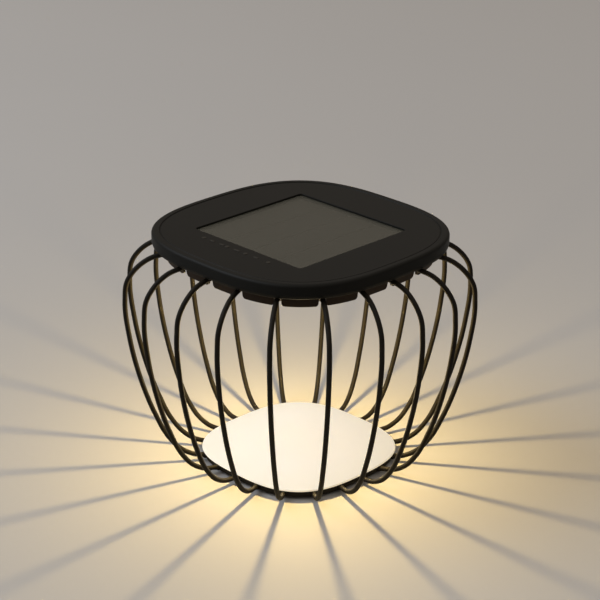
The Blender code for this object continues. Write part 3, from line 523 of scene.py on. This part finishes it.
def build_marks(material):
    """A row of plain raised dots and dashes on the cover, along the panel's front edge.

    Each is a low pill: half circles of its half width, joined by straight sides of its length.
    """
    dot, dash, long_dash = (1.5, 0.0), (0.8, 2.4), (0.8, 3.6)    # half width and length in millimetres
    marks = ((-28.0, dot), (-21.0, dash), (-13.0, dash), (-8.5, dot), (-0.5, long_dash), (6.5, dot),
             (15.0, dash), (25.0, dot))
    top, root = COVER_FACE + 0.26 * MM, COVER_FACE - 0.2 * MM
    for number, (across, (half, straight)) in enumerate(marks, start=1):
        half = half * MM
        profile = fillet([(0.1 * MM, top, 0), (half - 0.2 * MM, top, 0.15 * MM), (half, root, 0),
                          (0.1 * MM, root, 0)], steps=3)
        rows = turned_rows(profile, 0.0, MARK_LINE, count=24)
        side = np.sign(np.round(rows[:, :, 0], 9))
        rows[:, :, 0] += across * MM + side * straight / 2 * MM
        finish_piece(shell(f"relief_mark_{number}", rows), material, "top_cover")


def build_window(material):
    """Square window with softened edges."""
    path = fillet([(AXIS, GLASS_TOP, 0), (GLASS_HALF, GLASS_TOP, 0.35 * MM),
                   (GLASS_HALF, GLASS_LOW, 0.1 * MM), (AXIS, GLASS_LOW, 0)])
    rows = squared_rows(path, exponents=SHARP_SQUARE, count=720)
    finish_piece(shell("panel_window", rows), material, "panel_window", "solar_glass")


def prism_rows(outline, sweep):
    """Two rows: a closed outline (points as rows of xyz) and the same outline moved by sweep."""
    outline = np.asarray(outline, dtype=float)
    return np.stack([outline, outline + np.asarray(sweep)])


def notch_outline():
    """U-shaped slot seen from outside: (sideways, height) with flared feet and a round top."""
    half = NOTCH_WIDTH / 2
    flare = 2.3 * MM
    arch = NOTCH_TOP - half
    foot = np.radians(np.linspace(0, 90, 7))
    left_foot = np.stack([-half - flare + flare * np.sin(foot),
                          SKIRT_LOW + flare - flare * np.cos(foot)], axis=1)
    bend = np.radians(np.linspace(180, 0, 25))
    top = np.stack([half * np.cos(bend), arch + half * np.sin(bend)], axis=1)
    right_foot = left_foot[::-1] * (-1, 1)
    below = SKIRT_LOW - 2.0 * MM
    return np.vstack([[(-half - flare, below)], left_foot, top, right_foot, [(half + flare, below)]])


def cut(obj, cutters):
    """Subtracts each cutter from obj, then removes it."""
    for cutter in cutters:
        modifier = obj.modifiers.new("cut", "BOOLEAN")
        modifier.operation = "DIFFERENCE"
        modifier.solver = "EXACT"
        modifier.object = cutter
    graph = bpy.context.evaluated_depsgraph_get()
    mesh = bpy.data.meshes.new_from_object(obj.evaluated_get(graph))
    obj.modifiers.clear()
    obj.data = mesh
    for cutter in cutters:
        bpy.data.objects.remove(cutter)
    mesh.shade_smooth()
    mesh.set_sharp_from_angle(angle=math.radians(32))


def joined(name, shells):
    """One object from several separate closed shells."""
    points, faces, offset = [], [], 0
    for part in shells:
        points += [tuple(vert.co) for vert in part.data.vertices]
        faces += [[offset + index for index in polygon.vertices] for polygon in part.data.polygons]
        offset = len(points)
        bpy.data.objects.remove(part)
    mesh = bpy.data.meshes.new(name)
    mesh.from_pydata(points, [], faces)
    obj = bpy.data.objects.new(name, mesh)
    bpy.context.scene.collection.objects.link(obj)
    return obj


def drill(radius, low, high, x=0.0, y=0.0, count=64):
    return shell("drill", turned_rows(np.array([(radius, low), (radius, high)]), x, y, count))


def ring_screw_drills(low, high):
    return [drill(RING_HOLE_RADIUS, low - PAST, high + PAST, x, y, 24) for x, y in RING_SCREWS]


def rectangle(half_x, half_y, x, y):
    """The four corners of a rectangle about (x, y)."""
    return np.array([(1, 1), (-1, 1), (-1, -1), (1, -1)]) * (half_x, half_y) + (x, y)


def build_housing(material):
    """Flange, skirt and hub in one skin, then the slots and holes cut through it."""
    inside = HUB_TOP_HALF - HUB_WALL
    path = fillet([(AXIS, HUB_FLOOR, 0), (HUB_HALF - HUB_WALL, HUB_FLOOR, 0.6 * MM),
                   (HUB_HALF - HUB_WALL, HUB_FLOOR + 1.0 * MM, 0.5 * MM),
                   (inside, HUB_SLOPE + HUB_WALL, 2.0 * MM),
                   (inside, FLANGE_TOP, 0.3 * MM), (FLANGE_HALF, FLANGE_TOP, 0.3 * MM),
                   (FLANGE_HALF, FLANGE_LOW, 0.3 * MM), (SKIRT_TOP_HALF, FLANGE_LOW, 0.3 * MM),
                   (SKIRT_LOW_HALF, SKIRT_LOW, 0.8 * MM), (SKIRT_LOW_HALF - SKIRT_WALL, SKIRT_LOW, 0.5 * MM),
                   (SKIRT_TOP_HALF - SKIRT_WALL, FLANGE_LOW, 0.6 * MM), (HUB_TOP_HALF, FLANGE_LOW, 0.3 * MM),
                   (HUB_TOP_HALF, HUB_SLOPE, 3.0 * MM), (HUB_HALF, HUB_LOW + 1.6 * MM, 0.8 * MM),
                   (HUB_HALF - 1.6 * MM, HUB_LOW, 0.8 * MM), (AXIS, HUB_LOW, 0)])
    housing = shell("head_housing", squared_rows(path))
    inner = SKIRT_LOW_HALF - SKIRT_WALL - 1.0 * MM
    sweep = 14.5 * MM
    notches = []
    sideways, height = notch_outline().T
    for step in range(WIRE_COUNT):
        angle = 2 * math.pi * step / WIRE_COUNT
        out = np.array((math.cos(angle), math.sin(angle), 0.0))
        side = np.array((-math.sin(angle), math.cos(angle), 0.0))
        outline = inner * out + sideways[:, None] * side + height[:, None] * np.array((0.0, 0.0, 1.0))
        notches.append(shell("notch", prism_rows(outline, sweep * out)))
    low, high = HUB_LOW - PAST, HUB_FLOOR + PAST
    holes = [drill(LENS_RADIUS + HOLE_GAP, low, high),
             drill(BUTTON_RADIUS + HOLE_GAP, low, high, 0.0, BUTTON_Y)]
    holes += ring_screw_drills(FLANGE_LOW, FLANGE_TOP)
    opening = np.column_stack([rectangle(25.0 * MM, 7.0 * MM, 0.0, DOOR_Y), np.full(4, low)])
    holes.append(shell("opening", prism_rows(opening, (0.0, 0.0, high - low))))
    cut(housing, [joined("notches", notches), joined("holes", holes)])
    finish_piece(housing, material, "head_base", "head_base")


def build_stands(material):
    """Posts, ribs, pins and screw boss that stand on the hub's floor and hold the inner parts."""
    foot = HUB_FLOOR - 1.0 * MM
    rib_tall = 12.9 * MM
    board_low = low_of("controller_board").z - 0.3 * MM
    pin_top = high_of("led_board").z + 0.6 * MM
    parts = [drill(2.2 * MM, foot, board_low, x * MM, y * MM, 48) for x in (-22, 22) for y in (-22, 6)]
    parts += [drill(1.0 * MM, foot, pin_top, x * MM, 0.0, 32) for x in (-12.9, 12.9)]
    for x in (-26.9 * MM, 26.9 * MM):
        outline = np.column_stack([rectangle(0.7 * MM, 7.0 * MM, x, DOOR_Y), np.full(4, foot)])
        parts.append(shell("rib", prism_rows(outline, (0.0, 0.0, rib_tall))))
    boss = fillet([(1.4 * MM, foot, 0), (2.9 * MM, foot, 0), (2.9 * MM, foot + 4.5 * MM, 0.4 * MM),
                   (1.4 * MM, foot + 4.5 * MM, 0.2 * MM)])
    parts.append(shell("boss", turned_rows(boss, DOOR_SCREW_X, DOOR_Y, 48), wrap_rows=True))
    finish_piece(joined("housing_stands", parts), material, "head_base")


def band(name, node, width, ease):
    """A flat ring of rounded-square outline with eased edges, starting in the middle of its underside."""
    low, high = low_of(node).z, high_of(node).z
    outer = high_of(node).x
    inner, middle = outer - width, outer - width / 2
    corners = [(middle, low, 0), (outer, low, ease), (outer, high, ease), (inner, high, ease),
               (inner, low, ease), (middle - 0.1 * MM, low, 0)]
    return shell(name, squared_rows(fillet(corners)), wrap_rows=True)


def build_rings(material):
    """Upper and lower steel rings and the floor plate, all with eased edges."""
    ring = band("upper_band", "upper_ring", 6.0 * MM, 0.4 * MM)
    cut(ring, [joined("ring_holes", ring_screw_drills(low_of("upper_ring").z, high_of("upper_ring").z))])
    finish_piece(ring, material, "cage_steel", "upper_ring")
    ring = band("lower_band", "lower_ring", 2.0 * MM, 0.35 * MM)
    finish_piece(ring, material, "cage_steel", "lower_ring")
    low, high = low_of("base_plate").z, high_of("base_plate").z
    half = high_of("base_plate").x
    path = fillet([(AXIS, high, 0), (half, high, 0.3 * MM), (half, low, 0.3 * MM), (AXIS, low, 0)])
    plate = shell("floor_plate", squared_rows(path))
    holes = [drill(SMALL_HOLE_RADIUS, low - PAST, high + PAST, x, 0.0, 24) for x in BASE_SCREWS]
    cut(plate, [joined("plate_holes", holes)])
    finish_piece(plate, material, "cage_steel", "base_plate")


def cross_head(name, node, x, y, form, material):
    """Pan-head screw seen from below: a domed disc with a cross recess, then the shank.

    The head's face is a polar grid whose height is radius-dependent dome minus the recess, which is
    deep where a point is near one of the two slot lines and near the middle.
    """
    radius, head_tall, shank = form
    low, tip = low_of(node).z, high_of(node).z
    seat = low + head_tall
    across = np.linspace(0.03, 1.0, 26)[:, None] * radius
    angles = np.linspace(0, 2 * np.pi, 96, endpoint=False)[None, :]
    px, py = across * np.cos(angles), across * np.sin(angles)
    slot = np.minimum(np.abs(px), np.abs(py))
    in_slot = np.clip((0.17 * radius - slot) / (0.06 * radius), 0, 1)
    in_reach = np.clip((0.62 * radius - across) / (0.10 * radius), 0, 1)
    tall = 0.45 * MM
    face = low + tall * (across / radius) ** 2.4 + 0.6 * MM * in_slot * in_reach
    cap = np.stack([px + x, py + y, np.broadcast_to(face, px.shape)], axis=2)
    side = fillet([(radius, low + tall, 0), (radius, seat, 0.1 * MM), (shank, seat, 0.1 * MM),
                   (shank, tip, 0.3 * MM), (0.2 * MM, tip, 0)])
    rows = np.concatenate([cap, turned_rows(side[1:], x, y, 96)])
    finish_piece(shell(name, rows), material, "fastener", node)


def build_screws(material):
    """The lantern's seven screws; a form is head radius, head height and shank radius."""
    form = (2.8 * MM, 2.0 * MM, 1.5 * MM)
    for number, (x, y) in enumerate(RING_SCREWS, start=1):
        cross_head(f"head_screw_{number}", f"ring_screw_{number}", x, y, form, material)
    form = (2.4 * MM, 1.3 * MM, 1.0 * MM)
    for number, x in enumerate(BASE_SCREWS, start=1):
        cross_head(f"dome_screw_{number}", f"base_screw_{number}", x, 0.0, form, material)
    form = (2.0 * MM, 1.2 * MM, 1.0 * MM)
    cross_head("hatch_screw", "door_screw", DOOR_SCREW_X, DOOR_Y, form, material)


def build_button(material):
    """Button with a dished face under the head, a flange above the floor and a nub on top."""
    low, high = low_of("mode_button").z, high_of("mode_button").z
    flange = HUB_FLOOR + 0.3 * MM
    flange_top = flange + 1.2 * MM
    flange_radius = 6.0 * MM
    nub = 1.8 * MM
    dish_edge, dish_deep = 0.8, 0.35 * MM
    dish = np.linspace(0.1, dish_edge, 8)
    face = [(BUTTON_RADIUS * share, low + dish_deep * (1 - (share / dish_edge) ** 2)) for share in dish]
    side = fillet([(BUTTON_RADIUS * dish_edge, low, 0), (BUTTON_RADIUS, low, 0.5 * MM),
                   (BUTTON_RADIUS, flange, 0), (flange_radius, flange, 0.2 * MM),
                   (flange_radius, flange_top, 0.2 * MM), (nub, flange_top, 0.2 * MM),
                   (nub, high, 0.3 * MM), (0.2 * MM, high, 0)])
    rows = turned_rows(np.vstack([face, side]), 0.0, BUTTON_Y, 96)
    finish_piece(shell("button_cap", rows), material, "button", "mode_button", body=BUTTON_BODY)


def build_lens(material):
    """Hollow lens: inner dome, mouth, flange, barrel and outer dome in one turned skin."""
    tip = low_of("lens").z
    top = high_of("lens").z
    flange_low = top - 1.0 * MM
    shoulder = HUB_LOW - 0.4 * MM
    wall = 1.2 * MM
    bore = LENS_RADIUS - wall
    flange = 10.8 * MM
    turn = np.linspace(0, np.pi / 2, 20)[1:-1]
    outer = np.stack([LENS_RADIUS * np.cos(turn), shoulder - (shoulder - tip) * np.sin(turn)], axis=1)
    inner = np.stack([bore * np.cos(turn), shoulder - (shoulder - tip - wall) * np.sin(turn)], axis=1)
    middle = fillet([(bore, shoulder, 0), (bore, top, 0.2 * MM), (flange, top, 0.2 * MM),
                     (flange, flange_low, 0.2 * MM), (LENS_RADIUS, flange_low, 0.1 * MM),
                     (LENS_RADIUS, shoulder, 0)])
    rows = turned_rows(np.vstack([inner[::-1], middle, outer]), count=96)
    finish_piece(shell("lens_dome", rows), material, "lens", "lens")


def build_hatch(material):
    """Battery door: a plate with round corners, and three grip ribs.

    The outline is a circle of the corner's radius, its four quarters moved apart to the corners.
    """
    low, high = HUB_LOW - 1.7 * MM, HUB_LOW - 0.3 * MM
    half_x, half_y = high_of("battery_door").x, high_of("battery_door").y - DOOR_Y
    corner = 8.0 * MM
    turn = np.linspace(0, 2 * np.pi, 160, endpoint=False)
    right, front = np.cos(turn), np.sin(turn)
    across = np.where(right >= 0, 1.0, -1.0) * (half_x - corner) + corner * right
    along = np.where(front >= 0, 1.0, -1.0) * (half_y - corner) + corner * front
    outline = np.stack([across, along], axis=1)
    path = [(0.02, low), (0.985, low), (1.0, low + 0.4 * MM), (1.0, high), (0.02, high)]
    rows = np.array([[(x * share, DOOR_Y + y * share, z) for x, y in outline] for share, z in path])
    plate = shell("battery_hatch", rows)
    cut(plate, [drill(SMALL_HOLE_RADIUS, low - PAST, high + PAST, DOOR_SCREW_X, DOOR_Y, 32)])
    finish_piece(plate, material, "battery_door", "battery_door")
    rib_top, rib_root = low - 0.35 * MM, low + 0.3 * MM
    for number in range(3):
        x = (-22.0 + 2.6 * number) * MM
        rib = fillet([(0.05 * MM, rib_top, 0), (0.5 * MM, rib_top, 0.3 * MM), (0.6 * MM, rib_root, 0),
                      (0.05 * MM, rib_root, 0)])
        rows = turned_rows(rib, x, DOOR_Y, 32)
        rows[:, :, 1] += np.where(rows[:, :, 1] > DOOR_Y, 4.0 * MM, -4.0 * MM)
        finish_piece(shell(f"hatch_rib_{number + 1}", rows), material, "battery_door")


# ---------------------------------------------------------------- cage
def smooth_path(bends, count):
    """Points on a cubic curve through the bends, closer together where it turns more.

    Between two bends the curve is the Hermite cubic whose slopes are the finite differences there.
    """
    bends = np.array(bends, dtype=float)
    knots = np.concatenate(([0.0], np.cumsum(np.linalg.norm(np.diff(bends, axis=0), axis=1))))
    slopes = np.gradient(bends, knots, axis=0)
    fine = np.linspace(0.0, knots[-1], 1200)
    span = np.clip(np.searchsorted(knots, fine, side="right") - 1, 0, len(knots) - 2)
    width = (knots[span + 1] - knots[span])[:, None]
    t = (fine[:, None] - knots[span][:, None]) / width
    path = (2 * t**3 - 3 * t**2 + 1) * bends[span] + (t**3 - 2 * t**2 + t) * width * slopes[span]
    path += (3 * t**2 - 2 * t**3) * bends[span + 1] + (t**3 - t**2) * width * slopes[span + 1]
    steps = np.diff(path, axis=0)
    lengths = np.linalg.norm(steps, axis=1)
    headings = steps / lengths[:, None]
    turns = np.arccos(np.clip(np.sum(headings[1:] * headings[:-1], axis=1), -1.0, 1.0))
    weight = lengths / lengths.sum()
    weight[1:] += 0.6 * turns / max(turns.sum(), 1e-9)
    along = np.concatenate(([0.0], np.cumsum(weight)))
    wanted = np.linspace(0.0, along[-1], count)
    return np.stack([np.interp(wanted, along, path[:, axis]) for axis in range(path.shape[1])], axis=1)


def wire_line(angle):
    """(distance from the axis, height) along one wire, from ring to ring."""
    share = (np.array(WIRE_BENDS)[:, 1] - WIRE_BENDS[-1][1]) / (WIRE_BENDS[0][1] - WIRE_BENDS[-1][1])
    swell = CORNER_SWELL_LOW + (CORNER_SWELL_TOP - CORNER_SWELL_LOW) * share
    bends = np.array(WIRE_BENDS) * MM
    bends[:, 0] *= 1.0 - swell * math.cos(4 * angle)
    unit = unit_outline(SQUARENESS, np.array([angle]))[0]
    start = (UPPER_RING_HALF * unit - 0.5 * MM, WIRE_TOP)
    end = (LOWER_RING_HALF * unit - 0.4 * MM, WIRE_LOW)
    return smooth_path(np.vstack([start, bends, end]), 150)


def build_wire(number, material):
    """A round bar swept along its line in a vertical plane, with a weld fillet at each end.

    At each point the section is a circle in the plane of the line's normal and the sideways
    direction; its radius grows near the ends as 1 + 0.45 exp(-(distance / 1.1 mm)^2).
    """
    angle = 2 * math.pi * (number - 1) / WIRE_COUNT
    line = wire_line(angle)
    tangent = np.gradient(line, axis=0)
    tangent /= np.linalg.norm(tangent, axis=1)[:, None]
    normal = np.stack([-tangent[:, 1], tangent[:, 0]], axis=1)
    along = np.concatenate(([0.0], np.cumsum(np.linalg.norm(np.diff(line, axis=0), axis=1))))
    weld, weld_length, weld_swell = 0.7 * MM, 1.1 * MM, 0.45
    to_weld = np.minimum(np.abs(along - weld), np.abs(along[-1] - weld - along))
    radius = WIRE_RADIUS * (1 + weld_swell * np.exp(-(to_weld / weld_length) ** 2))
    turn = np.linspace(0, 2 * np.pi, 20, endpoint=False)
    out = line[:, 0, None] + radius[:, None] * normal[:, 0, None] * np.cos(turn)
    up = line[:, 1, None] + radius[:, None] * normal[:, 1, None] * np.cos(turn)
    side = radius[:, None] * np.sin(turn)
    rows = np.stack([out * math.cos(angle) - side * math.sin(angle),
                     out * math.sin(angle) + side * math.cos(angle), up], axis=2)
    finish_piece(shell(f"wire_{number:02d}", rows), material, "cage_steel", f"cage_wire_{number:02d}")


# ---------------------------------------------------------------- base
def build_dome(material):
    """Low dome: the outer height falls with the 2.4th power of the share of the half width.

    Its outlines grow squarer from the middle to the rim.
    """
    rim_top = DOME_RIM + 1.0 * MM
    rise = DOME_TOP - rim_top
    wall = 1.8 * MM
    share = np.linspace(0.02, 0.965, 40)
    top = np.stack([DOME_HALF * share, rim_top + rise * (1 - share**2.4)], axis=1)
    under_share = np.linspace(0.92, 0.02, 24)
    under = np.stack([DOME_HALF * under_share, rim_top - wall + rise * (1 - under_share**2.4)], axis=1)
    spigot = LOWER_RING_HALF - 2.5 * MM
    spigot_low = low_of("reflector_dome").z
    edge = fillet([(*top[-1], 0), (DOME_HALF - 0.2 * MM, rim_top, 0.6 * MM), (DOME_HALF, DOME_RIM, 0.15 * MM),
                   (spigot, DOME_RIM, 0.2 * MM), (spigot, spigot_low, 0.3 * MM),
                   (spigot - wall, spigot_low, 0.3 * MM), (*under[0], 0)])
    path = np.vstack([top, edge[1:-1], under])
    middle_exponent = 2.25
    toward_rim = np.clip(path[:, 0] / DOME_HALF, 0, 1) ** 1.5
    exponents = middle_exponent + (SQUARENESS - middle_exponent) * toward_rim
    return finish_piece(shell("painted_glow_dome", squared_rows(path, exponents)), material, "dome", "reflector_dome")


def build_pads(material):
    for number in (1, 2, 3, 4):
        node = f"foot_pad_{number}"
        low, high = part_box(node)
        x, y = (low.x + high.x) / 2, (low.y + high.y) / 2
        radius = (high.x - low.x) / 2
        path = fillet([(0.2 * MM, high.z, 0), (radius, high.z, 0.2 * MM),
                       (radius - 0.2 * MM, low.z, 0.5 * MM), (0.2 * MM, low.z, 0)])
        foot = shell(f"rubber_foot_{number}", turned_rows(path, x, y))
        finish_piece(foot, material, "rubber_pad", node)


# ---------------------------------------------------------------- inner parts that keep their model shape
def paint_inner_parts():
    """Procedural finishes for the nodes that keep their own shape."""
    steel = plated_steel("nickel_contact", (0.62, 0.61, 0.58), 0.25)
    board = circuit_board()
    white = small_part("white_laminate", (0.74, 0.73, 0.69), 0.45)
    nylon = small_part("natural_nylon", (0.72, 0.70, 0.62), 0.45)
    resin = small_part("black_resin", (0.02, 0.02, 0.022), 0.5)
    paints = {
        "cell_board": white, "panel_gasket": rubber("gasket_foam"), "head_gasket": rubber("seal_rubber"),
        "controller_board": board, "driver_chip": resin, "charge_coil": resin, "lead_connector": nylon,
        "switch_body": nylon,
        "battery_cell": small_part("cell_sleeve", (0.16, 0.19, 0.24), 0.3, coat_weight=0.3),
        "battery_spring": steel, "battery_contact": steel, "led_board": white,
        "led_emitter": small_part("phosphor", (0.95, 0.76, 0.30), 0.4),
        "panel_lead": small_part("lead_sleeve", (0.30, 0.03, 0.02), 0.4),
    }
    paints["led_lead"] = paints["panel_lead"]
    wafer = silicon()
    paints.update({f"solar_cell_{number}": wafer for number in (1, 2, 3, 4)})
    for node, material in paints.items():
        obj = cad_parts[node]
        if not obj.material_slots:
            obj.data.materials.append(material)
        obj.material_slots[0].material = material


# ---------------------------------------------------------------- stage, light and camera
VIEW_TURN = math.radians(45.0)         # the camera looks at a corner of the head
VIEW_DISTANCE = 1.0155
VIEW_HEIGHT = 0.5311
VIEW_DOWN = math.radians(22.91)
VIEW_ROLL = math.radians(0.434)
VIEW_LENS = 112.1                      # for a 36 mm wide frame
WORLD_STRENGTH = 1.0                   # straight up; the horizon has WORLD_LOW of it
WORLD_LOW = 0.12
WORLD_COLOR = (1.0, 0.87, 0.74)
KEY_PLACE = (-1.6, -1.5, 1.9)
KEY_COLOR = (0.82, 0.90, 1.0)
KEY_POWER = 60.0
KEY_SIZE = 2.2
LAMP_POWER = 1.72
LAMP_COLOR = (1.0, 0.71, 0.27)
GLOW_POWER = 0.22
GLOW_COLOR = (1.0, 0.76, 0.40)


def build_camera():
    camera = bpy.data.cameras.new("camera")
    camera.lens = VIEW_LENS
    camera.sensor_width = 36.0
    camera.clip_start = 0.02
    camera.clip_end = 50.0
    obj = bpy.data.objects.new("camera", camera)
    across, back = VIEW_DISTANCE * math.sin(VIEW_TURN), -VIEW_DISTANCE * math.cos(VIEW_TURN)
    place = Matrix.Translation((across, back, VIEW_HEIGHT))
    turn = Matrix.Rotation(VIEW_TURN, 4, "Z") @ Matrix.Rotation(math.pi / 2 - VIEW_DOWN, 4, "X")
    obj.matrix_world = place @ turn @ Matrix.Rotation(VIEW_ROLL, 4, "Z")
    bpy.context.scene.collection.objects.link(obj)
    bpy.context.scene.camera = obj


def build_floor():
    """Plain pale table top that runs out of view on every side."""
    finish = Finish("table_top", roughness=0.7, specular_ior_level=0.25)
    tone = finish.noise(3.0, detail=2.0)
    finish.set("Base Color", finish.between(tone, (0.33, 0.33, 0.33), (0.34, 0.34, 0.34)))
    half = 6.0
    mesh = bpy.data.meshes.new("floor")
    corners = [(-half, -half, 0), (half, -half, 0), (half, half, 0), (-half, half, 0)]
    mesh.from_pydata(corners, [], [(0, 1, 2, 3)])
    mesh.materials.append(finish.material)
    floor = bpy.data.objects.new("floor", mesh)
    bpy.context.scene.collection.objects.link(floor)


def key_light():
    """A large round softbox, turned to the middle of the lantern."""
    light = bpy.data.lights.new("soft_key", "AREA")
    light.shape = "DISK"
    light.size = KEY_SIZE
    light.energy = KEY_POWER
    light.color = KEY_COLOR
    obj = bpy.data.objects.new("soft_key", light)
    aim = Vector((0.0, 0.0, 0.07))
    turn = (Vector(KEY_PLACE) - aim).to_track_quat("Z", "Y").to_matrix().to_4x4()
    obj.matrix_world = Matrix.Translation(KEY_PLACE) @ turn
    bpy.context.scene.collection.objects.link(obj)


def ball_light(name, height, radius, power, color):
    """A small round light on the lantern's axis."""
    light = bpy.data.lights.new(name, "POINT")
    light.energy = power
    light.color = color
    light.shadow_soft_size = radius
    obj = bpy.data.objects.new(name, light)
    obj.location = (0.0, 0.0, height)
    bpy.context.scene.collection.objects.link(obj)
    return obj


def build_lights():
    """World, softbox, the lamp under the lens, and the soft light that the dome throws back."""
    world = bpy.data.worlds.new("studio")
    bpy.context.scene.world = world
    world.use_nodes = True
    nodes, links = world.node_tree.nodes, world.node_tree.links
    background = nodes["Background"]
    background.inputs["Color"].default_value = (*WORLD_COLOR, 1.0)
    parts = nodes.new("ShaderNodeSeparateXYZ")
    links.new(nodes.new("ShaderNodeTexCoord").outputs["Generated"], parts.inputs[0])
    rise = nodes.new("ShaderNodeMapRange")
    links.new(parts.outputs["Z"], rise.inputs["Value"])
    rise.inputs["To Min"].default_value = WORLD_LOW * WORLD_STRENGTH
    rise.inputs["To Max"].default_value = WORLD_STRENGTH
    links.new(rise.outputs["Result"], background.inputs["Strength"])
    key_light()
    lamp = ball_light("lantern_light", low_of("lens").z - 6.5 * MM, 6.0 * MM, LAMP_POWER, LAMP_COLOR)
    glow = ball_light("dome_glow", DOME_TOP + 16.0 * MM, 14.0 * MM, GLOW_POWER, GLOW_COLOR)
    return lamp, glow


def spare(light, piece):
    """Keeps a light off one piece, whose painted glow already stands for it."""
    receivers = bpy.data.collections.new("light_receivers")
    receivers.objects.link(piece)
    receivers.collection_objects[0].light_linking.link_state = "EXCLUDE"
    light.light_linking.receiver_collection = receivers


# ---------------------------------------------------------------- assembly
bpy.context.scene.view_settings.view_transform = "Standard"
build_camera()
build_floor()
lantern_lights = build_lights()

cover_black = moulded_black("cover_black", (0.0046, 0.0048, 0.0042), 0.50)
# housing, stands and hatch: black plastic given a browner, lighter tone, painted warm light from below
painted_warm_housing_black = moulded_black("painted_warm_housing_black", (0.0140, 0.0080, 0.0045), 0.50)
coated_steel = powder_coat("coated_steel", (0.0082, 0.0070, 0.0050))
zinc = plated_steel("zinc_plate", (0.60, 0.60, 0.58), 0.28)

build_cover(cover_black)
build_marks(small_part("mark_grey", (0.020, 0.018, 0.014), 0.6, specular_ior_level=0.15))
build_window(panel_window())
build_housing(painted_warm_housing_black)
build_stands(painted_warm_housing_black)
build_rings(coated_steel)
for wire_number in range(1, WIRE_COUNT + 1):
    build_wire(wire_number, coated_steel)
# the dome's white carries a painted glow for the lamp's light on it
dome = build_dome(painted_glow_white())
for light in lantern_lights:
    spare(light, dome)
build_pads(rubber("pad_rubber"))
build_screws(zinc)
build_button(small_part("button_grey", (0.11, 0.11, 0.11), 0.45))
build_lens(lit_lens())
build_hatch(painted_warm_housing_black)
paint_inner_parts()
